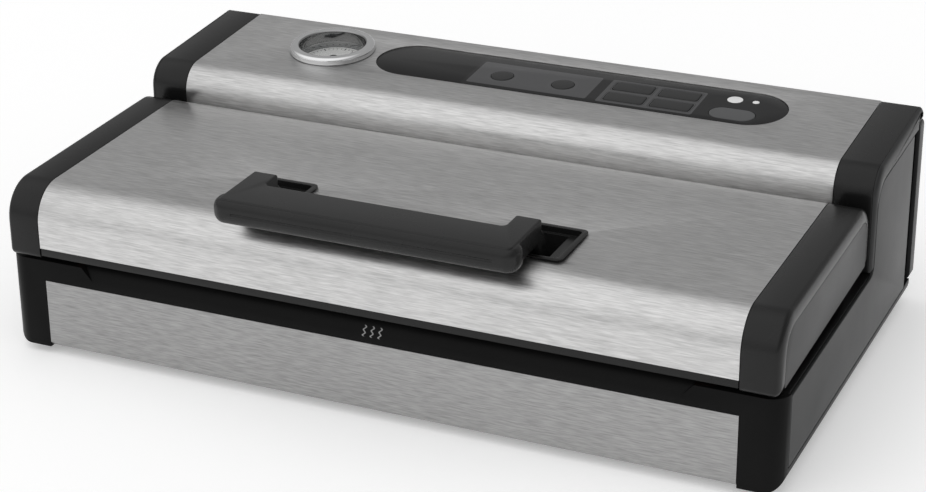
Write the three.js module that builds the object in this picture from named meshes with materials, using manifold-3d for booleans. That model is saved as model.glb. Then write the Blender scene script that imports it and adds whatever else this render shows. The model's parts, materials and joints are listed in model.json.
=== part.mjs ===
// Countertop vacuum sealer: a flat base with a seal bar and a drip tray, a hinged lid with a
// swinging latch handle, and a raised rear housing with a vacuum gauge and a key panel.
// Units are millimetres. +Z is up, +X runs along the long side, the front faces -Y.
// The origin is on the standing surface, under the middle of the footprint.
import * as THREE from "three";
import { mergeVertices } from "three/addons/utils/BufferGeometryUtils.js";
import Module from "manifold-3d";

// ---------- driving dimensions ----------
const GAP = 0.3; // clearance between pieces that touch
const WALL = 3; // moulded plastic wall
const SHEET = 1.2; // stainless sheet
const ARC_STEPS = 6; // facets on each bend
const ROUND = 28; // facets on a round piece
const SPARE = 0.5; // room round a piece that drops into a seat
const FAR = 400; // beyond every face of the object, for the open ends of cutters

const HALF_WIDTH = 247.5; // outside of the base and of the rear housing
const FRONT_Y = -137.5; // front face of the base
const REAR_Y = 149; // rear face of the rear cover
const SHELL_REAR_Y = 139.2; // rear edge of the base moulding
const BASE_BOTTOM = 5; // underside of the base, above the feet
const DECK = 63.5; // top face of the base
const DECK_UNDER = 60; // underside of the deck
const INSIDE_X = 242.7; // inner face of the base's side walls
const FRONT_WALL = 4.5; // thickness of the base's front wall
const REAR_ROOM = { x: 236.5, y: 121 }; // the narrower room between the side grooves
const FLOOR_PLATE = { x: 235.5, y0: -128.5, y1: 135.5, z0: 5.2, z1: 7.2 };
const FLOOR = 7.6; // where the parts inside stand
const PANEL_HALF = 221.5; // half length of the front steel panel and of the lid steel
const PANEL_TOP = 50;
const PANEL_FOOT = { y: -130, z: 6, bend: 3 }; // the front panel's lower flange and its bend
const SIDE_PANEL = { x: 246, y0: -125.8, y1: 125.4, z0: 17.2, z1: 121.6, low: 61.8 };
const SIDE_BEND = { y: 57, z: 104.4, r: 15 }; // bend of the side panel, under the housing's bend
const SIDE_GROOVE = { x: 240, y: 125.8, z: 18 }; // the upright groove behind the side panel
const COVER = { z0: 17, z1: 125, corner: 4, wall: 2.5 }; // rear cover
const CORNER_RADIUS = 12;
const SIDE_EDGE_RADIUS = 11;

const LID_FRONT_Y = -140.5;
const LID_HALF = 244.8; // outside of the lid's end caps
const LID_FRONT_BEND = { y: -118, z: 88, r: 22.5 };
const LID_STEEL_BOTTOM = 73;
const LID_UNDER = 68; // underside of the lid's inner frame
const HINGE = { y: 19.5, z: 94, roll: 18 }; // lid hinge axis, and the radius of the lid's rolled rear edge
const HINGE_PIN = 3;
const POST = { x0: 229, x1: 237, r: 8 }; // the hinge bracket's post and its rounded top
const LID_PLATE_X = 244; // back of the grey plate in each lid cap

const LATCH = { y: -92, z: 94, shaft: 4 }; // axis of the handle's shaft
const HANDLE_HALF = 91.6;
const HANDLE_ARM = 15.8;
const HANDLE_FRONT_Y = -151;
const HANDLE_REAR_Y = -119;
const HANDLE_TOP = 130.5;
const HANDLE_UNDER = 115.5;
const HANDLE_REACH_Y = -102.5; // rear end of the handle's arms
const GRIP_BAR = { half: 95.5, rear: -133, corner: 8, bulge: 3, curve: 6 };
const HOOK_IN = 229.5; // inner and outer face of each latch hook
const HOOK_OUT = 237.5;
const HOOK_TIP_Z = 50;
const HOOK_SLOT = { y0: -127, y1: -79 }; // where each hook passes through the deck
const CATCH = { x0: 227, x1: 240, y0: -81.2, y1: -66, bend: -70, z0: 50, z1: 59.7, leaf: 2.7 };

const SKIN_HALF = 220.3; // half length of the rear housing's steel skin
const HOUSING_FRONT_Y = 38.5;
const HOUSING_BEND = { y: 55.5, z: 112, r: 17 };
const TOP_SLOPE = THREE.MathUtils.degToRad(3);
const SKIN_REAR = { y: 147.5, r: 3.5 };
const CAP_REAR = { y: REAR_Y, r: 6.4 };
const CAP_EDGE = { deep: 3, wide: 6, steps: 2 }; // the rear caps' outer edge

const PANEL = { x: 31, y: 104.7, half: 115, r: 25.4 }; // stadium-shaped key panel
// The gauge's centre: x, and distance up the slope from the panel's middle. `hole` is the hole's radius.
const GAUGE = { x: -143.5, s: -1.7, hole: 24.8 };
const THROUGH = 20; // reach of a cutter above and below the sloping top
const KEY_TRAVEL = 0.5;

const TRAY = { x: 203.5, y0: -101, y1: -27, floor: 40, top: 62.5, wall: 1.5 };
const SEAL_BAR = { x: 204, y0: -128, y1: -118, z0: 57.3, z1: 64.3 };
const GASKET = { x: 218, y0: -112.5, y1: -5, width: 8.2, groove: 61 };
const BAR_BLOCK = { x: 208, y0: -131, y1: -114.5, z: 54 }; // the thick block under the seal bar
const NOZZLE = { x: -150, y: -19, r: 3.4 };
const HOUSING_OPENING = { x: 214, y0: 46, y1: 134 }; // in the deck, under the rear housing
const SCOOP = { half: 186, flare: 10, z: 54, deep: 5.5 }; // finger scoop in the front band
// The mains socket: its middle, half sizes, and how far in its body, recess and blades reach.
const INLET = { x: 185, z: 46, half: 14, tall: 10, wall: 2, body: 124, recess: 134, blades: 144 };

// ---------- colours and finishes ----------
const finish = (color, roughness, metalness) =>
  new THREE.MeshStandardMaterial({ color, roughness, metalness });
const STEEL = finish(0xb4b4b2, 0.36, 1);
const CHROME = finish(0xd8d8da, 0.08, 1);
const BLACK = finish(0x161617, 0.42, 0);
const GREY = finish(0x4a4b4d, 0.5, 0);
const RUBBER = finish(0x1b1b1b, 0.85, 0);
const GASKET_FOAM = finish(0x3a3d40, 0.9, 0);
const DIAL_WHITE = finish(0xe8e8e4, 0.6, 0);
const GLASS = new THREE.MeshStandardMaterial({
  color: 0xe8f0f2,
  roughness: 0.05,
  metalness: 0,
  transparent: true,
  opacity: 0.35,
});
const GLOSS_BLACK = finish(0x1d1d20, 0.15, 0);
const KEY_DARK = finish(0x2a2a2d, 0.4, 0);
const KEY_GREY = finish(0x66686b, 0.4, 0);
const LAMP = finish(0xf2f2ee, 0.3, 0);
const BOARD = finish(0x1f5a36, 0.6, 0);
const COPPER = finish(0x9a5a34, 0.4, 1);
const SILICONE = finish(0x9c3a2c, 0.7, 0);
const TAPE = finish(0xa08a66, 0.6, 0);
const ALUMINIUM = finish(0x9da0a3, 0.45, 1);

// ---------- solids ----------
const wasm = await Module();
wasm.setup();

// A closed three.js geometry as a solid, whichever way round its faces are.
function solid(geometry) {
  const bare = geometry.clone();
  bare.deleteAttribute("normal");
  bare.deleteAttribute("uv");
  const merged = mergeVertices(bare, 1e-4);
  const corners = merged.index.array;
  const triangles = [];
  for (let i = 0; i < corners.length; i += 3) {
    const [a, b, c] = corners.subarray(i, i + 3);
    if (a !== b && b !== c && c !== a) triangles.push(a, b, c);
  }
  const build = (list) =>
    new wasm.Manifold(
      new wasm.Mesh({
        numProp: 3,
        vertProperties: merged.attributes.position.array,
        triVerts: new Uint32Array(list),
      }),
    );
  const made = build(triangles);
  return made.volume() < 0 ? build(triangles.reverse()) : made;
}

const join = (first, ...rest) => rest.reduce((sum, next) => sum.add(next), first);
const cut = (first, ...rest) => rest.reduce((left, next) => left.subtract(next), first);
const mirrored = (made) => made.mirror([1, 0, 0]);
const pair = (made) => join(made, mirrored(made));

function box(x0, x1, y0, y1, z0, z1) {
  const block = new THREE.BoxGeometry(x1 - x0, y1 - y0, z1 - z0);
  return solid(block.translate((x0 + x1) / 2, (y0 + y1) / 2, (z0 + z1) / 2));
}

const X_AXIS = new THREE.Vector3(1, 0, 0);
const Y_AXIS = new THREE.Vector3(0, 1, 0);
const Z_AXIS = new THREE.Vector3(0, 0, 1);

// An outline drawn in (y, z) pushed along X from x0 to x1. With a bevel, the x1 end is chamfered.
function alongX(outline, x0, x1, bevel = null) {
  const lead = bevel ? bevel.deep + 1 : 0;
  const geometry = new THREE.ExtrudeGeometry(outline, {
    depth: x1 - x0 + lead - (bevel ? bevel.deep : 0),
    bevelEnabled: Boolean(bevel),
    bevelThickness: bevel ? bevel.deep : 0,
    bevelSize: bevel ? bevel.wide : 0,
    bevelOffset: bevel ? -bevel.wide : 0,
    bevelSegments: bevel ? bevel.steps : 1,
    curveSegments: ARC_STEPS,
  });
  const basis = new THREE.Matrix4().makeBasis(Y_AXIS, Z_AXIS, X_AXIS);
  geometry.applyMatrix4(basis.setPosition(x0 - lead, 0, 0));
  const pushed = solid(geometry);
  return bevel ? pushed.intersect(box(x0, x1 + 1, -FAR, FAR, -FAR, FAR)) : pushed;
}

// An outline drawn in (x, z) pushed along Y from y0 to y1.
function alongY(outline, y0, y1) {
  const geometry = new THREE.ExtrudeGeometry(outline, {
    depth: y1 - y0,
    bevelEnabled: false,
    curveSegments: ARC_STEPS,
  });
  const basis = new THREE.Matrix4().makeBasis(X_AXIS, Z_AXIS, Y_AXIS.clone().negate());
  return solid(geometry.applyMatrix4(basis.setPosition(0, y1, 0)));
}

// An outline drawn in (x, y) pushed up Z from z0 to z1.
function alongZ(outline, z0, z1, steps = ARC_STEPS) {
  const geometry = new THREE.ExtrudeGeometry(outline, {
    depth: z1 - z0,
    bevelEnabled: false,
    curveSegments: steps,
  });
  return solid(geometry.translate(0, 0, z0));
}

function polygon(points) {
  return new THREE.Shape(points.map(([a, b]) => new THREE.Vector2(a, b)));
}

function roundedRect(a0, a1, b0, b1, radius) {
  const s = new THREE.Shape();
  s.moveTo(a0 + radius, b0);
  s.lineTo(a1 - radius, b0);
  s.absarc(a1 - radius, b0 + radius, radius, -Math.PI / 2, 0, false);
  s.lineTo(a1, b1 - radius);
  s.absarc(a1 - radius, b1 - radius, radius, 0, Math.PI / 2, false);
  s.lineTo(a0 + radius, b1);
  s.absarc(a0 + radius, b1 - radius, radius, Math.PI / 2, Math.PI, false);
  s.lineTo(a0, b0 + radius);
  s.absarc(a0 + radius, b0 + radius, radius, Math.PI, Math.PI * 1.5, false);
  return s;
}

const stadium = (x, y, half, radius) =>
  roundedRect(x - half - radius, x + half + radius, y - radius, y + radius, radius - 1e-3);

// A closed profile of [radius, height] points turned about the vertical line through (x, y).
function turned(profile, x, y, steps = ROUND) {
  const points = profile.map(([r, h]) => new THREE.Vector2(r, h));
  const geometry = new THREE.LatheGeometry(points, steps);
  return solid(geometry.rotateX(Math.PI / 2).translate(x, y, 0));
}

function rodX(y, z, radius, x0, x1, steps = 20) {
  const geometry = new THREE.CylinderGeometry(radius, radius, x1 - x0, steps);
  return solid(geometry.rotateZ(Math.PI / 2).translate((x0 + x1) / 2, y, z));
}

function rodY(x, z, radius, y0, y1, steps = 20) {
  const geometry = new THREE.CylinderGeometry(radius, radius, y1 - y0, steps);
  return solid(geometry.translate(x, (y0 + y1) / 2, z));
}

function rodZ(x, y, radius, z0, z1, steps = 20) {
  const geometry = new THREE.CylinderGeometry(radius, radius, z1 - z0, steps);
  return solid(geometry.rotateX(Math.PI / 2).translate(x, y, (z0 + z1) / 2));
}

// ---------- the assembly ----------
const sealer = new THREE.Group();
const lid = new THREE.Group();
const panelTop = new THREE.Group(); // pieces set square to the sloping top, in its own (x, s, h) frame
sealer.add(lid, panelTop);

function place(name, made, material, group = sealer) {
  const mesh = made.getMesh();
  const geometry = new THREE.BufferGeometry();
  geometry.setAttribute("position", new THREE.BufferAttribute(mesh.vertProperties, 3));
  geometry.setIndex(new THREE.BufferAttribute(mesh.triVerts, 1));
  geometry.computeVertexNormals();
  const piece = new THREE.Mesh(geometry, material);
  piece.name = name;
  group.add(piece);
}

function placePair(name, right, material, group = sealer) {
  place(name + "_right", right, material, group);
  place(name + "_left", mirrored(right), material, group);
}

// ---------- rear housing outline and the frame of its sloping top ----------
// The housing's section in (y, z), set in by `inset`, from its front wall over the top to `rear`.
function housingOutline(inset, bottom, rear, rearBottom = bottom) {
  const bend = HOUSING_BEND;
  const along = (rear.y - rear.r - bend.y + (bend.r - rear.r) * Math.sin(TOP_SLOPE)) / Math.cos(TOP_SLOPE);
  const rise = along * Math.sin(TOP_SLOPE) + (bend.r - rear.r) * Math.cos(TOP_SLOPE);
  const s = new THREE.Shape();
  s.moveTo(HOUSING_FRONT_Y + inset, bottom);
  s.lineTo(HOUSING_FRONT_Y + inset, bend.z);
  s.absarc(bend.y, bend.z, bend.r - inset, Math.PI, Math.PI / 2 + TOP_SLOPE, true);
  s.absarc(rear.y - rear.r, bend.z + rise, rear.r - inset, Math.PI / 2 + TOP_SLOPE, 0, true);
  s.lineTo(rear.y - inset, rearBottom);
  return s;
}

const topFrontY = HOUSING_BEND.y - HOUSING_BEND.r * Math.sin(TOP_SLOPE);
const topFrontZ = HOUSING_BEND.z + HOUSING_BEND.r * Math.cos(TOP_SLOPE);
const panelZ = topFrontZ + (PANEL.y - topFrontY) * Math.tan(TOP_SLOPE);
panelTop.position.set(0, PANEL.y, panelZ);
panelTop.rotation.x = TOP_SLOPE;
panelTop.updateMatrix();
const onTop = (made) => made.transform(panelTop.matrix.elements);

// ---------- base moulding ----------
function makeBaseFrame() {
  const plan = roundedRect(-HALF_WIDTH, HALF_WIDTH, FRONT_Y, SHELL_REAR_Y + 40, CORNER_RADIUS);
  const front = new THREE.Shape();
  front.moveTo(-HALF_WIDTH, DECK);
  front.lineTo(-HALF_WIDTH, BASE_BOTTOM + SIDE_EDGE_RADIUS);
  front.absarc(-HALF_WIDTH + SIDE_EDGE_RADIUS, BASE_BOTTOM + SIDE_EDGE_RADIUS, SIDE_EDGE_RADIUS,
    Math.PI, Math.PI * 1.5, false);
  front.lineTo(HALF_WIDTH - SIDE_EDGE_RADIUS, BASE_BOTTOM);
  front.absarc(HALF_WIDTH - SIDE_EDGE_RADIUS, BASE_BOTTOM + SIDE_EDGE_RADIUS, SIDE_EDGE_RADIUS,
    -Math.PI / 2, 0, false);
  front.lineTo(HALF_WIDTH, DECK);
  const outer = alongZ(plan, 0, 80).intersect(alongY(front, FRONT_Y - 1, SHELL_REAR_Y));

  const room = REAR_ROOM;
  const hollow = join(
    box(-INSIDE_X, INSIDE_X, FRONT_Y + FRONT_WALL, room.y + 1, 0, DECK_UNDER),
    box(-room.x, room.x, room.y, SHELL_REAR_Y - WALL, 0, DECK_UNDER),
  );
  const half = PANEL_HALF + GAP;
  const foot = PANEL_FOOT;
  const panelSeat = join(
    box(-half, half, -FAR, FRONT_Y + SHEET + GAP, 0, PANEL_TOP + GAP),
    box(-half, half, -FAR, FRONT_Y + foot.bend + GAP, 0, foot.z + foot.bend + GAP),
    box(-half, half, -FAR, foot.y + SPARE, 0, foot.z + SHEET + GAP),
  );
  const side = SIDE_PANEL;
  const sideSeat = box(side.x - GAP, FAR, side.y0 - SPARE, SIDE_GROOVE.y, side.z0 - GAP, FAR);
  const sideGroove = box(SIDE_GROOVE.x, FAR, SIDE_GROOVE.y, FAR, SIDE_GROOVE.z, FAR);
  let frame = cut(outer, hollow, panelSeat, pair(sideSeat), pair(sideGroove));

  const t = TRAY;
  const block = BAR_BLOCK;
  const seatBlock = box(-block.x, block.x, block.y0, block.y1, block.z, DECK_UNDER + 0.5);
  const wellOuter = box(-t.x - WALL, t.x + WALL, t.y0 - WALL, t.y1 + WALL, t.floor - WALL, DECK_UNDER + 0.5);
  frame = join(frame, seatBlock, wellOuter);

  const bar = SEAL_BAR;
  const slotFloor = DECK_UNDER - 1;
  const well = box(-t.x - SPARE, t.x + SPARE, t.y0 - SPARE, t.y1 + SPARE, t.floor - SPARE, FAR);
  const barSeat = box(-bar.x - SPARE, bar.x + SPARE, bar.y0 - SPARE, bar.y1 + SPARE, bar.z0 - GAP, FAR);
  const gasketSeat = gasketRing(0.4, GASKET.groove, FAR);
  const hookSlot = box(HOOK_IN - 2, HOOK_OUT + 2, HOOK_SLOT.y0, HOOK_SLOT.y1, slotFloor, FAR);
  const nozzleHole = rodZ(NOZZLE.x, NOZZLE.y, NOZZLE.r + 0.4, slotFloor, FAR);
  const opening = HOUSING_OPENING;
  const housingOpening = box(-opening.x, opening.x, opening.y0, opening.y1, slotFloor, FAR);
  const inlet = inletBox(1, REAR_ROOM.y, FAR);
  const slots = pair(hookSlot);
  return cut(frame, well, barSeat, gasketSeat, slots, nozzleHole, housingOpening, makeScoop(), inlet);
}

// The scoop slopes back to the deck, and its ends flare outwards.
function makeScoop() {
  const over = DECK + 0.1;
  const section = polygon([[FRONT_Y - 1, SCOOP.z], [FRONT_Y + SCOOP.deep, over], [FRONT_Y - 1, over]]);
  const { half, flare, z } = SCOOP;
  const ends = polygon([[-half - flare, DECK + 1], [-half, z - 1], [half, z - 1], [half + flare, DECK + 1]]);
  return alongX(section, -FAR, FAR).intersect(alongY(ends, -FAR, 0));
}

// A box round the mains socket's middle, larger than its body by `spare` all round.
function inletBox(spare, y0, y1) {
  const { x, z, half, tall } = INLET;
  return box(x - half - spare, x + half + spare, y0, y1, z - tall - spare, z + tall + spare);
}

// The racetrack that both gaskets share, wider by `spare` on each side.
function gasketRing(spare, z0, z1) {
  const w = GASKET.width;
  const outer = roundedRect(-GASKET.x - spare, GASKET.x + spare, GASKET.y0 - spare, GASKET.y1 + spare, 14);
  const inner = roundedRect(-GASKET.x + w + spare, GASKET.x - w - spare,
    GASKET.y0 + w + spare, GASKET.y1 - w - spare, 7);
  return cut(alongZ(outer, z0, z1, 4), alongZ(inner, z0 - 1, z1 + 1, 4));
}

function makeFrontPanel() {
  const { y, z, bend } = PANEL_FOOT;
  const s = new THREE.Shape();
  s.moveTo(FRONT_Y, PANEL_TOP);
  s.lineTo(FRONT_Y, z + bend);
  s.absarc(FRONT_Y + bend, z + bend, bend, Math.PI, Math.PI * 1.5, false);
  s.lineTo(y, z);
  s.lineTo(y, z + SHEET);
  s.absarc(FRONT_Y + bend, z + bend, bend - SHEET, Math.PI * 1.5, Math.PI, true);
  s.lineTo(FRONT_Y + SHEET, PANEL_TOP);
  return alongX(s, -PANEL_HALF, PANEL_HALF);
}

// The side panel is one L-shaped plate: low beside the lid, tall beside the rear housing.
function makeSidePanel() {
  const { x, y0, y1, z0, z1, low } = SIDE_PANEL;
  const bend = SIDE_BEND;
  const s = new THREE.Shape();
  s.moveTo(y0, z0);
  s.lineTo(y1, z0);
  s.lineTo(y1, z1);
  s.lineTo(bend.y, bend.z + bend.r);
  s.absarc(bend.y, bend.z, bend.r, Math.PI / 2, Math.PI, false);
  s.lineTo(bend.y - bend.r, low + 1.6);
  s.lineTo(bend.y - bend.r - 4, low + 0.6);
  s.lineTo(y0, low);
  return alongX(s, x, HALF_WIDTH);
}

function makeRearCover() {
  const { z0, z1, corner, wall } = COVER;
  const face = roundedRect(-HALF_WIDTH, HALF_WIDTH, z0, z1, corner);
  const outer = alongY(face, SHELL_REAR_Y + GAP, REAR_Y);
  const inside = HALF_WIDTH - wall;
  const inner = box(-inside, inside, SHELL_REAR_Y - 1, REAR_Y - wall, z0 + wall, z1 - wall);
  return cut(outer, inner, inletBox(SPARE, SHELL_REAR_Y, FAR));
}

// The mains socket: a flanged box with a recess and three blades. No lead is fitted.
function makeInlet() {
  const { x, z, half, tall, wall, body, recess, blades } = INLET;
  const flangeOutline = roundedRect(x - half - 4, x + half + 4, z - tall - 3, z + tall + 3, 4);
  const flange = alongY(flangeOutline, REAR_Y + GAP, REAR_Y + 2);
  const shell = cut(join(flange, inletBox(0, body, REAR_Y + 1)), inletBox(-wall, recess, FAR));
  const blade = (dx, dz) => box(x + dx - 1, x + dx + 1, recess - 1, blades, z + dz - 2, z + dz + 2);
  return join(shell, blade(-7, -2), blade(7, -2), blade(0, 2));
}

place("base_frame", makeBaseFrame(), BLACK);
place("front_trim_panel", makeFrontPanel(), STEEL);
const floor = FLOOR_PLATE;
place("bottom_plate", box(-floor.x, floor.x, floor.y0, floor.y1, floor.z0, floor.z1), GREY);
placePair("side_panel", makeSidePanel(), GREY);
place("rear_cover", makeRearCover(), GREY);
place("mains_inlet", makeInlet(), BLACK);
const FOOT = [[0, 0], [9, 0], [10.5, 1.5], [10, 4.9], [0, 4.9]];
for (const [name, x, y] of [
  ["foot_front_left", -205, -108],
  ["foot_front_right", 205, -108],
  ["foot_rear_left", -205, 112],
  ["foot_rear_right", 205, 112],
])
  place(name, turned(FOOT, x, y, 20), RUBBER);

// ---------- sealing and vacuum parts in the base ----------
function makeDripTray() {
  const t = TRAY;
  const outer = alongZ(roundedRect(-t.x, t.x, t.y0, t.y1, 6), t.floor, t.top, 3);
  const inner = alongZ(roundedRect(-t.x + t.wall, t.x - t.wall, t.y0 + t.wall, t.y1 - t.wall, 5),
    t.floor + t.wall, FAR, 3);
  const grips = pair(box(-t.x + 40, -t.x + 60, t.y1 - 6, t.y1 + 1, t.top - 5, FAR));
  return cut(outer, inner, grips);
}

function makeNozzle() {
  const profile = [
    [1.6, 46], [NOZZLE.r, 46], [NOZZLE.r, 63.8], [5, 63.8], [5, 65.2], [3.2, 66.4], [1.6, 66.4], [1.6, 46],
  ];
  return turned(profile, NOZZLE.x, NOZZLE.y, 16);
}

const bar = SEAL_BAR;
place("seal_bar", box(-bar.x, bar.x, bar.y0, bar.y1, bar.z0, bar.z1), ALUMINIUM);
const stripZ = bar.z1 + GAP;
const tapeZ = stripZ + 0.6;
place("heating_strip", box(-bar.x + 4, bar.x - 4, -124.6, -121.4, stripZ, stripZ + 0.3), CHROME);
place("seal_tape", box(-bar.x - 2, bar.x + 2, bar.y0 - 2, bar.y1 + 2, tapeZ, tapeZ + 0.3), TAPE);
place("lower_gasket", gasketRing(0, GASKET.groove + GAP, 65.4), GASKET_FOAM);
place("drip_tray", makeDripTray(), GREY);
place("vacuum_nozzle", makeNozzle(), BLACK);

// A catch plate under the deck, behind each hook slot, with a leaf bent down at its rear.
function makeCatch() {
  const { x0, x1, y0, y1, bend, z0, z1, leaf } = CATCH;
  return join(box(x0, x1, y0, y1, z1 - leaf, z1), box(x0, x1, bend, y1, z0, z1 - 1));
}
placePair("latch_catch", makeCatch(), STEEL);

// A bracket on each side of the deck carries the lid's hinge pin.
function makeHingeBracket() {
  const { y, z } = HINGE;
  const foot = box(226, 239.7, 6, 34, DECK + GAP, DECK + 2.2);
  const post = box(POST.x0, POST.x1, y - 6, y + 5.5, DECK + 1, z);
  return join(foot, post, rodX(y, z, POST.r, POST.x0, POST.x1), rodX(y, z, HINGE_PIN, 223.3, 242.8, 16));
}
placePair("hinge_bracket", makeHingeBracket(), STEEL);

// ---------- works inside the base ----------
function makePump() {
  const head = box(-204, -160, 50, 110, 14, 74);
  const valveBlock = box(-198, -166, 60, 100, 73, 84);
  const foot = box(-210, -155, 56, 104, FLOOR, 14.5);
  const barb = rodY(-182, 50, 2.6, 42, 51, 12);
  return join(head, valveBlock, foot, barb);
}

function makeMotor() {
  const axis = [80, 45]; // y, z
  const can = rodX(...axis, 26, -159.6, -92, 24);
  const boss = rodX(...axis, 9, -93, -86, 16);
  const cradle = box(-150, -100, 58, 102, FLOOR, 24);
  return join(can, boss, cradle);
}

function makeTransformer() {
  const core = box(92, 152, 56, 112, 10, 58);
  const coil = box(98, 146, 48, 120, 20, 48);
  const foot = box(84, 160, 64, 104, FLOOR, 10.5);
  return join(core, coil, foot);
}

function makeMainBoard() {
  const board = box(-66, 72, 56, 128, 14, 15.6);
  const posts = join(...[[-60, 62], [66, 62], [-60, 122], [66, 122]].map(([x, y]) =>
    rodZ(x, y, 3, FLOOR, 14.5, 10)));
  const relay = box(-50, -28, 70, 86, 15, 31);
  const sink = box(10, 50, 100, 104, 15, 42);
  const capacitors = join(...[-10, 8, 26].map((x) => rodZ(x, 76, 6.5, 15, 34, 14)));
  const headers = join(...[-48, -20].map((x) => box(x, x + 20, 108, 116, 15, 24)));
  return join(board, posts, relay, sink, capacitors, headers);
}

function makeValve() {
  const body = box(172, 196, 58, 84, FLOOR, 30);
  const coil = rodZ(184, 71, 11, 29, 56, 20);
  const barb = rodY(178, 19, 2.6, 50, 59, 12);
  return join(body, coil, barb);
}

function makeHose() {
  const route = [
    [NOZZLE.x, NOZZLE.y, 45.6],
    [NOZZLE.x, NOZZLE.y, 37],
    [-152, -12, 27],
    [-160, 6, 24],
    [-174, 22, 34],
    [-182, 33, 49.4],
    [-182, 41.3, 50],
  ];
  const path = new THREE.CatmullRomCurve3(route.map((p) => new THREE.Vector3(...p)));
  const section = new THREE.Shape().absarc(0, 0, 3.6, 0, Math.PI * 2, false);
  return solid(new THREE.ExtrudeGeometry(section, {
    steps: 18,
    curveSegments: 5,
    bevelEnabled: false,
    extrudePath: path,
  }));
}

place("vacuum_pump", makePump(), ALUMINIUM);
place("pump_motor", makeMotor(), CHROME);
place("transformer", makeTransformer(), COPPER);
place("main_board", makeMainBoard(), BOARD);
place("solenoid_valve", makeValve(), ALUMINIUM);
place("vacuum_hose", makeHose(), RUBBER);
place("lid_sensor", box(210, 222, -60, -38, 50, 59.7), KEY_DARK);

// ---------- rear housing ----------
function makeRearSkin() {
  const outer = alongX(housingOutline(0, DECK + 1, SKIN_REAR, 125.6), -SKIN_HALF, SKIN_HALF);
  const inner = alongX(housingOutline(SHEET, DECK, SKIN_REAR, 120), -SKIN_HALF - 1, SKIN_HALF + 1);
  const below = box(-FAR, FAR, 60, FAR, 0, COVER.z1 + 0.4);
  const gaugeHole = rodZ(GAUGE.x, GAUGE.s, GAUGE.hole, -THROUGH, THROUGH, ROUND);
  const panelHole = alongZ(stadium(PANEL.x, 0, PANEL.half, PANEL.r), -THROUGH, THROUGH, 9);
  return cut(outer, inner, below, onTop(gaugeHole), onTop(panelHole));
}

function makeRearCap() {
  const body = alongX(housingOutline(0, -40, CAP_REAR), SKIN_HALF + 0.5, HALF_WIDTH, CAP_EDGE);
  const band = box(0, FAR, 0, FAR, DECK + 0.5, FAR);
  const inside = housingOutline(WALL, 0, CAP_REAR);
  const room = REAR_ROOM;
  const hollow = join(
    alongX(inside, SKIN_HALF - 1, INSIDE_X).intersect(box(0, FAR, 0, room.y + 1, 0, FAR)),
    alongX(inside, SKIN_HALF - 1, room.x).intersect(box(0, FAR, room.y, SHELL_REAR_Y - WALL, 0, FAR)),
  );
  const sideSeat = alongX(offsetSideSeat(), SIDE_PANEL.x - GAP, FAR);
  const sideGroove = box(SIDE_GROOVE.x, FAR, SIDE_GROOVE.y, FAR, 0, SIDE_PANEL.z1 + 0.4);
  const behind = box(0, FAR, SHELL_REAR_Y, FAR, 0, COVER.z1 + 0.4);
  return cut(body.intersect(band), hollow, sideSeat, sideGroove, behind);
}

// The seat that the tall part of the side panel sits in.
function offsetSideSeat() {
  const { y, z, r } = SIDE_BEND;
  const s = new THREE.Shape();
  s.moveTo(y - r - GAP, 0);
  s.lineTo(SIDE_GROOVE.y, 0);
  s.lineTo(SIDE_GROOVE.y, SIDE_PANEL.z1 + 0.4);
  s.lineTo(y, z + r + GAP);
  s.absarc(y, z, r + GAP, Math.PI / 2, Math.PI, false);
  return s;
}

place("rear_skin", makeRearSkin(), STEEL);
placePair("rear_end_cap", makeRearCap(), BLACK);

// ---------- vacuum gauge ----------
const BEZEL = [
  [28.5, GAP], [28.5, 1.8], [27.2, 4], [25, 4.8], [22.1, 3.9],
  [22.1, -8], [24.4, -8], [24.4, GAP], [28.5, GAP],
];
const GAUGE_CASE = [[0, -26], [24, -26], [24.3, -8.4], [21.9, -8.4], [21.6, -23.5], [0, -23.5]];
const LENS = [[0, -3.4], [21.7, -3.4], [21.7, -2.2], [0, -1.6]];
const NEEDLE_REST = 128; // degrees, anticlockwise from straight up the slope
const DIAL = [[1.6, -8], [21.6, -8], [21.6, -7.2], [1.6, -7.2], [1.6, -8]];

function makeNeedle() {
  const { x, s } = GAUGE;
  const hub = turned([[0, -6.6], [2.8, -6.6], [2.8, -5], [2, -4.6], [0, -4.6]], x, s, 16);
  const arbor = rodZ(x, s, 1.1, -14, -6, 10);
  const blade = alongZ(polygon([[-1.5, -5], [1.5, -5], [0.6, 15.5], [-0.6, 15.5]]), -6.4, -5.4);
  const swung = blade.rotate([0, 0, NEEDLE_REST]).translate([x, s, 0]);
  return join(hub, arbor, swung);
}

place("gauge_bezel", turned(BEZEL, GAUGE.x, GAUGE.s, 36), CHROME, panelTop);
place("gauge_case", turned(GAUGE_CASE, GAUGE.x, GAUGE.s, 24), BLACK, panelTop);
place("gauge_dial", turned(DIAL, GAUGE.x, GAUGE.s, 32), DIAL_WHITE, panelTop);
place("gauge_needle", makeNeedle(), BLACK, panelTop);
place("gauge_lens", turned(LENS, GAUGE.x, GAUGE.s, 32), GLASS, panelTop);

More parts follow.
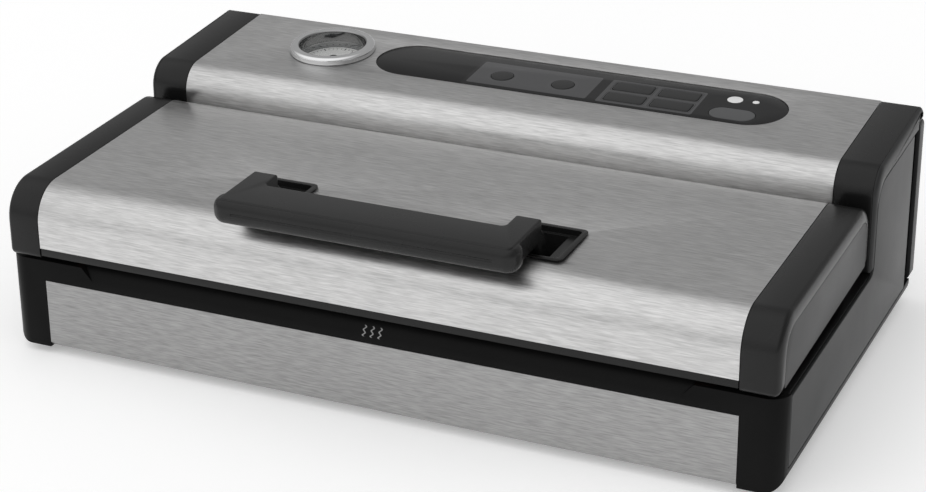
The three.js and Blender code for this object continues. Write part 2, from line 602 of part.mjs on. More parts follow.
// ---------- key panel: the fascia sits a little below the steel, the keys a little above it ----------
const FASCIA_TOP = -0.5;
const FASCIA_UNDER = -3.4;
const KEY_TOP = FASCIA_TOP + 0.3;
const KEY_FLANGE = { low: -4.8, high: -3.8 };
const KEYS = [];
for (const [name, x] of [["vacuum_key", -19.3], ["seal_key", 23]])
  KEYS.push({
    name,
    steps: 10,
    outline: (grow) => new THREE.Shape().absarc(x, -3.7, 7.3 + grow, 0, Math.PI * 2),
  });
for (const [name, x, s] of [
  ["mode_key_1", 68, 6.2],
  ["mode_key_2", 99, 6.2],
  ["mode_key_3", 68, -10.6],
  ["mode_key_4", 99, -10.6],
])
  KEYS.push({
    name,
    steps: 2,
    outline: (grow) => roundedRect(x - 13 - grow, x + 13 + grow, s - 6.2 - grow, s + 6.2 + grow, 2),
  });
KEYS.push({ name: "stop_key", steps: 6, outline: (grow) => stadium(139, -10.9, 6.5, 8.2 + grow) });
const LAMPS = [
  { name: "status_lamp", x: 134, s: 11.3, r: 5 },
  { name: "ready_lamp", x: 147.5, s: 11.8, r: 2.2 },
];

function makeFascia() {
  const face = alongZ(stadium(PANEL.x, 0, PANEL.half, PANEL.r - GAP), FASCIA_UNDER, FASCIA_TOP, 9);
  const flange = alongZ(stadium(PANEL.x, 0, PANEL.half, PANEL.r + 2.5), FASCIA_UNDER, -SHEET - GAP, 9);
  const keyHoles = KEYS.map((key) => alongZ(key.outline(0.4), -THROUGH, THROUGH, key.steps));
  const lampHoles = LAMPS.map((lamp) => rodZ(lamp.x, lamp.s, lamp.r + GAP, -THROUGH, THROUGH, 18));
  return cut(join(face, flange), ...keyHoles, ...lampHoles);
}

place("control_fascia", makeFascia(), GLOSS_BLACK, panelTop);
for (const key of KEYS) {
  const cap = alongZ(key.outline(0), KEY_FLANGE.high - 0.2, KEY_TOP, key.steps);
  const flange = alongZ(key.outline(1.2), KEY_FLANGE.low, KEY_FLANGE.high, key.steps);
  place(key.name, join(cap, flange), key.name === "stop_key" ? KEY_GREY : KEY_DARK, panelTop);
}
for (const lamp of LAMPS)
  place(lamp.name, rodZ(lamp.x, lamp.s, lamp.r, KEY_FLANGE.low, FASCIA_TOP + 0.2, 18), LAMP, panelTop);
const boardTop = KEY_FLANGE.low - KEY_TRAVEL - GAP;
place("key_board", box(-76, 160, -20, 20, boardTop - 1.6, boardTop), BOARD, panelTop);

// ---------- lid ----------
// The lid's section in (y, z), set in by `inset`. It rolls round the hinge axis at the rear.
function lidOutline(inset, frontBottom, rearBottom, rearCorner) {
  const bend = LID_FRONT_BEND;
  const s = new THREE.Shape();
  s.moveTo(LID_FRONT_Y + inset, frontBottom);
  s.lineTo(LID_FRONT_Y + inset, bend.z);
  s.absarc(bend.y, bend.z, bend.r - inset, Math.PI, Math.PI / 2, true);
  s.absarc(HINGE.y, HINGE.z, HINGE.roll - inset, Math.PI / 2, 0, true);
  if (rearCorner) {
    const r = 8 - inset;
    s.lineTo(HINGE.y + HINGE.roll - inset, 78);
    s.absarc(HINGE.y + HINGE.roll - 8, 78, r, 0, -Math.PI / 2, true);
  } else s.lineTo(HINGE.y + HINGE.roll - inset, rearBottom);
  return s;
}

// Each pocket is a shallow dish in the lid with a deep slot in it that the handle's leg swings in.
const POCKET = { x0: 68.3, x1: 105.7, y0: -112.2, y1: -69.8, floor: 82.5, dish: 108.4 };
const LEG_SLOT = { x0: 73.4, x1: 96.5, y0: -110, y1: -73 };
function makeLidSkin() {
  const outer = alongX(lidOutline(0, LID_STEEL_BOTTOM, 80), -PANEL_HALF, PANEL_HALF);
  const inner = alongX(lidOutline(SHEET, LID_STEEL_BOTTOM - 30, 50), -PANEL_HALF - 1, PANEL_HALF + 1);
  const under = box(-FAR, FAR, LID_FRONT_Y + SHEET, HINGE.y + HINGE.roll - SHEET, 0, 90);
  const p = POCKET;
  const holeOutline = roundedRect(p.x0 - 0.4, p.x1 + 0.4, p.y0 - 0.4, p.y1 + 0.4, 3);
  const hole = alongZ(holeOutline, HINGE.z, FAR, 3);
  return cut(outer, inner, under, pair(hole));
}

function makeLidCap() {
  const tall = lidOutline(0, -60, -60);
  const bevelled = alongX(tall, PANEL_HALF + 0.5, LID_HALF, { deep: 4, wide: 7.5, steps: 3 });
  const blockOutline = lidOutline(0, 70, 70, true);
  blockOutline.lineTo(-130, 65.4);
  blockOutline.absarc(-136.5, 69.4, 4, -Math.PI / 2, -Math.PI, true);
  const body = bevelled.intersect(alongX(blockOutline, 0, FAR));
  const cavity = alongX(lidOutline(WALL, 0, 0), PANEL_HALF - 1, LID_HALF - WALL);
  const frontCavity = cavity.intersect(box(0, FAR, -FAR, 2, 0, FAR));
  const postSlot = cavity.intersect(box(POST.x0 - 1.6, POST.x1 + 1.6, 0, FAR, 0, FAR));
  const postWay = box(POST.x0 - 1.6, POST.x1 + 1.6, 1, 60, 0, HINGE.z + POST.r - 0.2);
  const pinHole = rodX(HINGE.y, HINGE.z, HINGE_PIN + 0.35, PANEL_HALF, 243.2, 16);
  const plateSeat = alongX(sidePlateOutline(GAP), LID_PLATE_X - GAP, FAR);
  return cut(body, frontCavity, postSlot, postWay, pinHole, plateSeat);
}

// The lid's grey side plate, and with `spare` the seat it sits in.
function sidePlateOutline(spare) {
  const s = new THREE.Shape();
  s.moveTo(-132 - spare, 68.5 - spare);
  s.lineTo(-132 - spare, LID_FRONT_BEND.z);
  s.absarc(LID_FRONT_BEND.y, LID_FRONT_BEND.z, 14 + spare, Math.PI, Math.PI / 2, true);
  s.absarc(HINGE.y, HINGE.z, 10 + spare, Math.PI / 2, 0, true);
  s.lineTo(HINGE.y + 10 + spare, 72.5 - spare);
  return s;
}

// The inner frame is open over the bag channel, with a kerb round it that carries the chamber plate.
const CHAMBER = { x: 200, y0: -96, y1: -26, top: 76.4, kerb: 2.5 };
const SEAT_TOP = 69.6; // how far the gasket's and the press strip's seats go up into the inner frame
const STRIP = { x: 205, y0: -128.2, y1: -117.8 }; // silicone press strip
const LUG = { x0: 140, x1: 146, y: -103, top: 102 }; // one of two lugs that carry the latch shaft
function makeInnerFrame() {
  const half = PANEL_HALF - GAP;
  const rim = box(-half, half, -140, -136, LID_UNDER, LID_STEEL_BOTTOM - GAP);
  const plate = box(-half, half, -137, 31, LID_UNDER, 71);
  const wall = box(-half, half, 28.5, 31, 70, 104);
  const lug = cut(
    join(
      box(LUG.x0, LUG.x1, LUG.y, LATCH.y + 8, CHAMBER.top + CHAMBER.kerb, LUG.top),
      box(LUG.x0, LUG.x1, LUG.y, CHAMBER.y0 - CHAMBER.kerb - GAP, 70, 80),
    ),
    rodX(LATCH.y, LATCH.z, LATCH.shaft + 0.35, LUG.x0 - 1, LUG.x1 + 1, 16),
  );
  const kerb = chamberBox(CHAMBER.kerb, 70, CHAMBER.top - GAP);
  const chamber = chamberBox(0, 0, CHAMBER.top);
  const gasketSeat = gasketRing(0.4, LID_UNDER - 1, SEAT_TOP);
  const stripSeat = box(-STRIP.x - 1, STRIP.x + 1, STRIP.y0 - 0.4, STRIP.y1 + 0.4, LID_UNDER - 1, SEAT_TOP);
  return cut(join(rim, plate, wall, kerb, pair(lug)), chamber, gasketSeat, stripSeat);
}

// A box over the vacuum chamber's plan, larger by `spare` all round.
function chamberBox(spare, z0, z1) {
  const { x, y0, y1 } = CHAMBER;
  return box(-x - spare, x + spare, y0 - spare, y1 + spare, z0, z1);
}

function makePocket() {
  const p = POCKET;
  const rimOutline = roundedRect(p.x0 - 1.8, p.x1 + 1.8, p.y0 - 1.8, p.y1 + 1.8, 4);
  const topZ = HINGE.z + HINGE.roll;
  const cup = alongZ(roundedRect(p.x0, p.x1, p.y0, p.y1, 3), p.dish - 1.6, topZ - 0.2, 3);
  const well = box(LEG_SLOT.x0 - 1.6, LEG_SLOT.x1 + 1.6, p.y0 + 0.4, LEG_SLOT.y1 + 1.6, p.floor, p.dish);
  const rim = alongZ(rimOutline, topZ - 0.6, topZ + 0.1, 3);
  const dish = alongZ(roundedRect(p.x0 + 1.4, p.x1 - 1.4, p.y0 + 1.4, p.y1 - 1.4, 2.4), p.dish, FAR, 3);
  const slot = box(LEG_SLOT.x0, LEG_SLOT.x1, LEG_SLOT.y0, LEG_SLOT.y1, p.floor + 1.6, FAR);
  const shaftHole = rodX(LATCH.y, LATCH.z, LATCH.shaft + 0.5, 0, FAR, 16);
  return cut(join(cup, rim, well), dish, slot, shaftHole);
}

place("lid_skin", makeLidSkin(), STEEL, lid);
placePair("lid_end_cap", makeLidCap(), BLACK, lid);
placePair("lid_side_plate", alongX(sidePlateOutline(0), LID_PLATE_X, LID_HALF), GREY, lid);
place("lid_inner_frame", makeInnerFrame(), BLACK, lid);
place("lid_chamber_plate", chamberBox(CHAMBER.kerb, CHAMBER.top, CHAMBER.top + 2.2), ALUMINIUM, lid);
place("upper_gasket", gasketRing(0, 65.8, SEAT_TOP - GAP), GASKET_FOAM, lid);
const stripTop = SEAT_TOP - GAP;
place("press_strip", box(-STRIP.x, STRIP.x, STRIP.y0, STRIP.y1, 65.9, stripTop), SILICONE, lid);
placePair("handle_pocket", makePocket(), BLACK, lid);

// ---------- handle, latch shaft and hooks ----------
function makeHandle() {
  const reach = HANDLE_REACH_Y;
  const corner = 4;
  const plan = new THREE.Shape();
  const front = HANDLE_FRONT_Y + GRIP_BAR.bulge;
  const inside = HANDLE_HALF - HANDLE_ARM;
  plan.moveTo(-HANDLE_HALF, reach);
  plan.lineTo(-HANDLE_HALF, front + corner);
  plan.absarc(-HANDLE_HALF + corner, front + corner, corner, Math.PI, Math.PI * 1.5, false);
  plan.lineTo(HANDLE_HALF - corner, front);
  plan.absarc(HANDLE_HALF - corner, front + corner, corner, -Math.PI / 2, 0, false);
  plan.lineTo(HANDLE_HALF, reach);
  plan.lineTo(inside, reach);
  plan.lineTo(inside, HANDLE_REAR_Y + 3);
  plan.absarc(inside - 3, HANDLE_REAR_Y + 3, 3, 0, -Math.PI / 2, true);
  plan.lineTo(-inside + 3, HANDLE_REAR_Y);
  plan.absarc(-inside + 3, HANDLE_REAR_Y + 3, 3, -Math.PI / 2, -Math.PI, true);
  plan.lineTo(-inside, reach);
  const bevel = 2.6;
  const geometry = new THREE.ExtrudeGeometry(plan, {
    depth: HANDLE_TOP - HANDLE_UNDER - 2 * bevel,
    bevelEnabled: true,
    bevelThickness: bevel,
    bevelSize: bevel,
    bevelOffset: -bevel,
    bevelSegments: 3,
    curveSegments: 5,
  });
  const grip = join(solid(geometry.translate(0, 0, HANDLE_UNDER + bevel)), makeGripBar());
  const hub = LATCH.shaft + 4;
  const leg = new THREE.Shape();
  leg.moveTo(LATCH.y + hub, LATCH.z);
  leg.absarc(LATCH.y, LATCH.z, hub, 0, -Math.PI, true);
  leg.lineTo(-107, 116);
  leg.lineTo(-108, 124);
  leg.lineTo(-104.5, 126);
  leg.lineTo(-97.5, 119);
  const bore = rodX(LATCH.y, LATCH.z, LATCH.shaft + 0.35, inside - 1, HANDLE_HALF + 1, 16);
  return join(grip, pair(cut(alongX(leg, inside + 0.6, HANDLE_HALF - 0.6), bore)));
}

// The front of the handle bulges out in a soft curve between its top and bottom faces.
function makeGripBar() {
  const { half, rear, corner, bulge, curve } = GRIP_BAR;
  const outline = roundedRect(-half, half, HANDLE_FRONT_Y, rear, corner);
  const geometry = new THREE.ExtrudeGeometry(outline, {
    depth: HANDLE_TOP - HANDLE_UNDER - 2 * curve,
    bevelEnabled: true,
    bevelThickness: curve,
    bevelSize: bulge,
    bevelOffset: -bulge,
    bevelSegments: 4,
    curveSegments: ARC_STEPS,
  });
  return solid(geometry.translate(0, 0, HANDLE_UNDER + curve));
}

function makeLatchShaft() {
  const { y, z, shaft } = LATCH;
  const hook = join(
    box(HOOK_IN, HOOK_OUT, y - 4, y + 4, HOOK_TIP_Z, z),
    box(HOOK_IN, HOOK_OUT, y + 3, y + 10, HOOK_TIP_Z, HOOK_TIP_Z + 5),
    rodX(y, z, 7, HOOK_IN, HOOK_OUT, 18),
  );
  return join(rodX(y, z, shaft, -HOOK_OUT - 1, HOOK_OUT + 1, 16), pair(hook));
}

place("handle", makeHandle(), BLACK, lid);
place("latch_shaft", makeLatchShaft(), STEEL, lid);

export default sealer;
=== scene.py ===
# %% [markdown]
# # A countertop vacuum sealer, finished in Blender
# The CAD model gives every piece its size and its place. This lesson gives the pieces their fine shapes
# and their finishes: brushed stainless steel, moulded plastic, rubber, foam, glass and print.
# Everything is in metres, in the CAD model's own frame: +X along the long side, the front faces -Y.

# %% Load the frame
import json
from math import cos, pi, radians, sin, tan

import bmesh
import bpy
from mathutils import Matrix, Vector


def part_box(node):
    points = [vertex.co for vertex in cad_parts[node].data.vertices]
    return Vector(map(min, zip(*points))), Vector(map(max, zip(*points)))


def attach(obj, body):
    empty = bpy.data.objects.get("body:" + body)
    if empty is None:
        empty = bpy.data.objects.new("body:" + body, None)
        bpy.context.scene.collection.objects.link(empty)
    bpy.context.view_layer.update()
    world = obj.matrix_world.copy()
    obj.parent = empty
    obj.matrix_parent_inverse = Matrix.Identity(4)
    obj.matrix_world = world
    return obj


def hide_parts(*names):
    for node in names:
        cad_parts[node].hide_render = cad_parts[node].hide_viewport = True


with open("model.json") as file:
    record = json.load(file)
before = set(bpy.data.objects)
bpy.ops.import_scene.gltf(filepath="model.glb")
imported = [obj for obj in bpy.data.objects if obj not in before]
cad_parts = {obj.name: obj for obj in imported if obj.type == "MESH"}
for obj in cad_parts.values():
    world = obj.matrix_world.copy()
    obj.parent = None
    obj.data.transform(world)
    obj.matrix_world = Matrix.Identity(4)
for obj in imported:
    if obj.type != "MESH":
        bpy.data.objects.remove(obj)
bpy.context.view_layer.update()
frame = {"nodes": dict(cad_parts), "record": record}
MM = 0.001

# %% [markdown]
# ## A small language for node trees
# A shader is a network of nodes, and a network is slow to write and to read. So a `Wire` stands for one
# output socket, and `a * b + 1` on wires adds the Math nodes. A `Graph` adds any other node in one call:
# its type, its settings, and then the values or wires of its sockets. Materials and geometry share both.

# %% Wires and graphs
class Wire:
    """One output socket of a node, with arithmetic."""

    def __init__(self, graph, socket):
        self.graph = graph
        self.socket = socket

    def math(self, operation, *others):
        sockets = dict(enumerate((self, *others)))
        return self.graph.add("ShaderNodeMath", {"operation": operation}, sockets)

    def __add__(self, other):
        return self.math("ADD", other)

    def __radd__(self, other):
        return self.math("ADD", other)

    def __sub__(self, other):
        return self.math("SUBTRACT", other)

    def __rsub__(self, other):
        return self.graph.value_math("SUBTRACT", other, self)

    def __mul__(self, other):
        return self.math("MULTIPLY", other)

    def __rmul__(self, other):
        return self.math("MULTIPLY", other)

    def __truediv__(self, other):
        return self.math("DIVIDE", other)

    def __rtruediv__(self, other):
        return self.graph.value_math("DIVIDE", other, self)

    def __abs__(self):
        return self.math("ABSOLUTE")

    def low(self, other):
        return self.math("MINIMUM", other)

    def high(self, other):
        return self.math("MAXIMUM", other)

    def clamped(self):
        return self.high(0.0).low(1.0)


class Graph:
    """A node tree that is built by calls."""

    def __init__(self, tree):
        self.tree = tree

    def add(self, kind, settings=None, sockets=None, out=0):
        """Adds a node: settings, then sockets by name or number. Gives back one output as a Wire."""
        node = self.tree.nodes.new(kind)
        for name, value in (settings or {}).items():
            if name == "stops":
                set_stops(node.color_ramp, value)
            else:
                setattr(node, name, value)
        for name, value in (sockets or {}).items():
            socket = node.inputs[name]
            if isinstance(value, Wire):
                self.tree.links.new(value.socket, socket)
            else:
                socket.default_value = value
        return Wire(self, node.outputs[out]) if len(node.outputs) else node

    def value_math(self, operation, first, second):
        return self.add("ShaderNodeMath", {"operation": operation}, {0: first, 1: second})

    def join(self, *parts):
        """Joins geometry wires in one Join Geometry node."""
        node = self.tree.nodes.new("GeometryNodeJoinGeometry")
        for part in parts:
            self.tree.links.new(part.socket, node.inputs[0])
        return Wire(self, node.outputs[0])

    def parts(self, vector):
        """The x, y and z of a vector wire."""
        node = self.tree.nodes.new("ShaderNodeSeparateXYZ")
        self.tree.links.new(vector.socket, node.inputs[0])
        return [Wire(self, output) for output in node.outputs]


def set_stops(ramp, stops):
    """Gives a colour ramp these (place, grey) stops."""
    while len(ramp.elements) < len(stops):
        ramp.elements.new(0.5)
    for element, (place, grey) in zip(ramp.elements, stops):
        element.position = place
        element.color = (grey, grey, grey, 1)


print("helpers ready:", Wire.__name__, Graph.__name__)

# %% [markdown]
# ## What every finish shares
# Each material starts as a Principled BSDF. A value that is the same all over goes straight on its socket,
# and only what changes over the surface comes by a wire. Patterns read Object coordinates: every piece
# sits at the origin with its place in its mesh, so the pattern stays put on it when it moves.

# %% Material helpers
FINISHES = {}


class Finish(Graph):
    """A material, kept in FINISHES by its name, with the patterns that several finishes share."""

    def __init__(self, name, **constants):
        self.material = bpy.data.materials.new(name)
        self.material.use_nodes = True
        FINISHES[name] = self.material
        super().__init__(self.material.node_tree)
        self.shader = self.tree.nodes["Principled BSDF"]
        for label, value in constants.items():
            self.shader.inputs[label.replace("_", " ")].default_value = value
        self.place = self.add("ShaderNodeTexCoord", out="Object")

    def feed(self, label, wire):
        self.tree.links.new(wire.socket, self.shader.inputs[label])

    def stretched(self, scale, detail=2.0, rough=0.5):
        """Noise whose cells are 1 / scale metres along each axis."""
        where = self.add("ShaderNodeMapping", None, {"Vector": self.place, "Scale": scale})
        return self.add("ShaderNodeTexNoise", None,
                        {"Vector": where, "Scale": 1.0, "Detail": detail, "Roughness": rough})

    def bump(self, height, strength, distance):
        self.feed("Normal", self.add("ShaderNodeBump", None,
                                     {"Height": height, "Strength": strength, "Distance": distance}))

    def tint(self, amount, dark, light):
        """A colour between two, by amount."""
        return self.add("ShaderNodeMix", {"data_type": "RGBA"}, {0: amount, 6: dark, 7: light}, out=2)

    def shade(self, level, blue=1.0):
        """A grey from a wire, with its blue a little stronger or weaker."""
        return self.add("ShaderNodeCombineColor", None, {0: level, 1: level, 2: level * blue})


def grey(value, warmth=0.0):
    """A colour from one grey value, a little warmer or cooler."""
    return (value * (1 + warmth), value, value * (1 - warmth), 1)


print("finish helpers ready")

# %% [markdown]
# ## Brushed stainless steel
# A belt has drawn fine scratches along the sheet's long side. Across the scratches the surface is rough,
# along them it is smooth, so a lamp's reflection smears into a band across the grain. Here noise that is
# stretched a hundred times along X makes the scratches, in a bump and in the roughness.

# %% Metals
def make_brushed_steel(name, low, high):
    """Brushed sheet whose colour wanders between two greys."""
    f = Finish(name, Metallic=1.0)
    scratch = f.stretched((60, 2400, 2400), detail=3)
    streak = f.stretched((95, 1150, 1150), detail=2)
    cloud = f.stretched((7, 9, 9), detail=1)
    grain = ((scratch - 0.5) * 1.2 + (streak - 0.5) * 1.5 + (cloud - 0.5) * 0.3 + 0.5).clamped()
    f.feed("Base Color", f.tint(grain, grey(low, 0.004), grey(high, 0.006)))
    f.feed("Roughness", streak * 0.12 + cloud * 0.08 + 0.24)
    f.bump(scratch * 0.6 + streak * 0.4, 0.3, 0.0002)


def make_plain_metal(name, colour, roughness, mottle=0.08):
    """A plated, drawn or cast metal with a faint mottle."""
    f = Finish(name, Metallic=1.0)
    spots = f.stretched((160, 160, 160), detail=4)
    dark = tuple(c * (1 - mottle) for c in colour[:3]) + (1,)
    f.feed("Base Color", f.tint(spots, dark, colour))
    f.feed("Roughness", spots * 0.12 + roughness)
    f.bump(f.stretched((900, 900, 900)), 0.08, 0.0001)


make_brushed_steel("brushed_steel", 0.45, 0.71)
# painted shade: a darker copy of the brushed steel for the base's front panel, standing in for the floor's
# shade reflected in it
make_brushed_steel("front_steel", 0.25, 0.42)
make_plain_metal("plain_steel", grey(0.58, -0.01), 0.28)
make_plain_metal("bar_aluminium", grey(0.62, -0.006), 0.32)
make_plain_metal("heater_alloy", grey(0.66, 0.02), 0.2)
make_plain_metal("pin_metal", (0.72, 0.6, 0.34, 1), 0.22)
print("metals:", sorted(FINISHES))

# %% [markdown]
# ## Moulded plastic, rubber, foam and silicone
# A moulding tool is spark-eroded, which leaves a fine grain on the plastic and keeps it from shining like
# glass. The grain is a small noise bump, and a broader noise moves the roughness a little, as handling
# does. Foam shows its cells, so it takes a Voronoi pattern.

# %% Plastics and rubbers
def make_moulded(name, colour, roughness, grain=0.12, scale=2600):
    """A moulded plastic or rubber with a spark-eroded grain and a little wear on its high spots."""
    f = Finish(name, Specular_IOR_Level=0.28)
    worn = f.stretched((22, 22, 22), detail=3)
    light = tuple(c * 1.35 + 0.002 for c in colour[:3]) + (1,)
    f.feed("Base Color", f.tint(worn, colour, light))
    f.feed("Roughness", worn * 0.14 + (roughness - 0.07))
    f.bump(f.stretched((scale, scale, scale)), grain, 0.0001)


def make_foam():
    f = Finish("gasket_foam", Roughness=0.95)
    cells = f.add("ShaderNodeTexVoronoi", None, {"Vector": f.place, "Scale": 1400.0})
    f.feed("Base Color", f.tint(cells.clamped(), grey(0.022), grey(0.05, -0.03)))
    f.bump(cells, 0.5, 0.0003)


make_moulded("black_plastic", grey(0.006), 0.27)
make_moulded("handle_plastic", grey(0.009), 0.26, grain=0.06)
# painted light on the sides: on the side plates, rims and side panels this grey stands in for black plastic
# lit grey by the light on the sides
make_moulded("grey_plastic", grey(0.018, -0.02), 0.42)
make_moulded("foot_rubber", grey(0.02), 0.8, grain=0.2, scale=1500)
make_foam()
make_moulded("press_silicone", (0.30, 0.065, 0.045, 1), 0.55, grain=0.05)
make_moulded("key_dark", grey(0.012, -0.02), 0.3, grain=0.05)
make_moulded("key_grey", grey(0.075, -0.02), 0.36, grain=0.05)
make_moulded("lamp_diffuser", grey(0.72), 0.25, grain=0.03)
make_moulded("ink_black", grey(0.015), 0.5, grain=0.02)
print("plastics ready:", len(FINISHES), "finishes so far")

# %% [markdown]
# ## Tape, laminations and circuit board
# The tape over the heater is glass cloth with a coating, so its weave is two crossed waves. The
# transformer's core is a stack of thin sheets, and the board has a solder mask over copper tracks.

# %% Woven, stacked and printed finishes
def make_tape():
    f = Finish("ptfe_tape", Roughness=0.42)
    warp = f.add("ShaderNodeTexWave", {"bands_direction": "X"}, {"Vector": f.place, "Scale": 260.0}, out=1)
    weft = f.add("ShaderNodeTexWave", {"bands_direction": "Y"}, {"Vector": f.place, "Scale": 260.0}, out=1)
    weave = warp * weft
    f.feed("Base Color", f.tint(weave, (0.22, 0.15, 0.075, 1), (0.40, 0.30, 0.17, 1)))
    f.bump(weave, 0.4, 0.0002)


def make_laminations():
    f = Finish("transformer_core", Metallic=0.4)
    sheets = f.add("ShaderNodeTexWave", {"bands_direction": "Y"}, {"Vector": f.place, "Scale": 330.0}, out=1)
    rust = f.stretched((80, 80, 80), detail=4)
    f.feed("Base Color", f.tint(rust, (0.10, 0.085, 0.08, 1), (0.22, 0.16, 0.12, 1)))
    f.feed("Roughness", sheets * 0.2 + 0.4)
    f.bump(sheets, 0.35, 0.0003)


def make_board():
    f = Finish("circuit_board", Roughness=0.3)
    tracks = f.add("ShaderNodeTexVoronoi", {"distance": "MANHATTAN"}, {"Vector": f.place, "Scale": 120.0})
    on_track = ((tracks - 0.35) * 14).clamped()
    f.feed("Base Color", f.tint(on_track, (0.012, 0.10, 0.035, 1), (0.03, 0.19, 0.07, 1)))
    f.bump(on_track, 0.2, 0.0001)


make_tape()
make_laminations()
make_board()
make_plain_metal("copper_wire", (0.62, 0.27, 0.13, 1), 0.25)
print("woven, stacked and printed finishes ready")

# %% [markdown]
# ## The sloping top and its own frame
# The rear housing's top rises 3 degrees towards the back. The gauge, the key panel and the print on them
# are set square to it, so it gets a frame of its own: x along the panel, s up the slope, h out of it.

# %% The top's frame
TOP_SLOPE = radians(3)
REAR_BEND = 3.5 * MM
PANEL_Y = 104.7 * MM
skin_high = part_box("rear_skin")[1]
rear_line = Vector((skin_high.y - REAR_BEND * (1 + sin(TOP_SLOPE)),
                    skin_high.z - REAR_BEND * (1 - cos(TOP_SLOPE))))


def top_height(y):
    """Height of the housing's top plane over a place along Y."""
    return rear_line.y + (y - rear_line.x) * tan(TOP_SLOPE)


PANEL_Z = top_height(PANEL_Y)


def on_top(x, s, h):
    """A point given in the top's frame, in the CAD frame."""
    y = PANEL_Y + s * cos(TOP_SLOPE) - h * sin(TOP_SLOPE)
    z = PANEL_Z + s * sin(TOP_SLOPE) + h * cos(TOP_SLOPE)
    return Vector((x, y, z))


def panel_coordinates(f):
    """The x and s of a shaded point in the top's frame, as wires."""
    x, y, z = f.parts(f.place)
    s = (y - PANEL_Y) * cos(TOP_SLOPE) + (z - PANEL_Z) * sin(TOP_SLOPE)
    return x, s


print("top plane at the panel: z =", round(PANEL_Z, 5))

# %% [markdown]
# ## Print on the key panel and the dial
# The panel is a glossy film printed from behind: two lighter fields round the keys, thin keylines, and
# short caption lines, here plain dashes with no lettering. Each printed shape is a mask made from the
# distance to a rounded box, with an edge a tenth of a millimetre soft.

# %% Printed masks
SOFT_EDGE = 0.12 * MM


def soft_mask(away):
    """A mask, 1 where the distance to an edge is below zero and 0 where it is above."""
    return (0.5 - away / (2 * SOFT_EDGE)).clamped()


def inside_box(x, s, centre, half, radius):
    """A mask, 1 inside a rounded box and 0 outside it."""
    dx = (abs(x - centre[0] * MM) - (half[0] - radius) * MM).high(0.0)
    ds = (abs(s - centre[1] * MM) - (half[1] - radius) * MM).high(0.0)
    return soft_mask((dx * dx + ds * ds).math("SQRT") - radius * MM)


def outline_of(x, s, centre, half, radius, width):
    """A mask of a rounded box's outline."""
    inner = (half[0] - width, half[1] - width)
    return inside_box(x, s, centre, half, radius) - inside_box(x, s, centre, inner, radius - width)


def caption(f, x, s, centre, half):
    """A row of uneven dashes that stands for a caption, without letters."""
    dashes = f.add("ShaderNodeTexNoise", {"noise_dimensions": "1D"}, {"W": x * 900 + s * 300, "Detail": 0.0})
    return inside_box(x, s, centre, half, 0.2) * ((dashes - 0.42) * 30).clamped()


FIELD_1 = ((2.7, -2.05), (41.3, 17.35), 1.5)
FIELD_2 = ((83, -2.55), (32, 17.85), 1.5)
ROUND_KEYS = ((-19.3, -3.7), (23, -3.7))
MODE_KEYS = ((68, 6.2), (99, 6.2), (68, -10.6), (99, -10.6))
MODE_KEY_HALF = (13, 6.2)


def make_panel_film():
    f = Finish("panel_gloss", Specular_IOR_Level=0.14)
    x, s = panel_coordinates(f)
    fields = inside_box(x, s, *FIELD_1).high(inside_box(x, s, *FIELD_2))
    lines = None
    for place in MODE_KEYS:
        frame_line = outline_of(x, s, place, (14.4, 7.6), 2.2, 0.5)
        lines = frame_line if lines is None else lines.high(frame_line)
    marks = caption(f, x, s, (-19.3, 10.4), (11, 0.8)).high(caption(f, x, s, (23, 10.4), (11, 0.8)))
    for place in ROUND_KEYS:
        marks = marks.high(outline_of(x, s, place, (9.6, 9.6), 9.6, 0.4))
    # painted reflection: the film is darker over its left end and lighter over the rest, where the room
    # reflects in it
    painted_dark_end = inside_box(x, s, (-77, 0), (36, 30), 1)
    film = f.stretched((30, 30, 30), detail=2)
    base = film * 0.003 + 0.013 - painted_dark_end * 0.008
    level = base + fields * 0.062 - fields * lines * 0.04 + marks * fields * 0.012
    f.feed("Base Color", f.shade(level, 1.03))
    f.feed("Roughness", film * 0.05 + 0.16)


gauge_low, gauge_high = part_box("gauge_dial")
GAUGE_X = (gauge_low.x + gauge_high.x) / 2
GAUGE_S = -1.7 * MM
BAND_RADIUS, BAND_HALF, BAND_TURN = 16.6, 1.0, (0.35, 2.15)
HAIR_RADIUS, HAIR_HALF = 19.6, 0.12
BORE_RADIUS = 22.6


def gauge_coordinates(f):
    """How far a shaded point is from the gauge's axis: along x, along s and in all."""
    x, s = panel_coordinates(f)
    dx = x - GAUGE_X
    ds = s - GAUGE_S
    return dx, ds, (dx * dx + ds * ds).math("SQRT")


def make_dial():
    # painted light: the dial glows in its own colour, so it looks lit down the shaded bore though no lamp is
    # behind it
    f = Finish("dial_face", Roughness=0.5, Emission_Strength=0.3)
    dx, ds, reach = gauge_coordinates(f)
    band = soft_mask(abs(reach - BAND_RADIUS * MM) - BAND_HALF * MM)
    angle = dx.math("ARCTAN2", ds)
    sector = ((angle - BAND_TURN[0]) * 60).clamped() * ((BAND_TURN[1] - angle) * 60).clamped()
    hair = soft_mask(abs(reach - HAIR_RADIUS * MM) - HAIR_HALF * MM)
    paper = f.stretched((300, 300, 300), detail=2)
    level = (paper * 0.05 + 0.70) * (1 - band * sector * 0.55) * (1 - hair * 0.8)
    face = f.shade(level, 0.98)
    f.feed("Base Color", face)
    # painted light: the dial's colour also feeds its glow
    f.feed("Emission Color", face)


def make_chrome():
    """Chrome plating, with painted shade down the bore of the ring, where its colour is darker."""
    f = Finish("chrome_ring", Metallic=1.0)
    # painted shade: the colour is darker inside the bore's radius, where the ring shades itself
    outside = ((gauge_coordinates(f)[2] - BORE_RADIUS * MM) / (0.8 * MM)).clamped()
    haze = f.stretched((60, 60, 60), detail=3)
    f.feed("Base Color", f.tint(outside * (haze * 0.2 + 0.8), grey(0.30), grey(0.80, -0.004)))
    f.feed("Roughness", haze * 0.05 + 0.05)


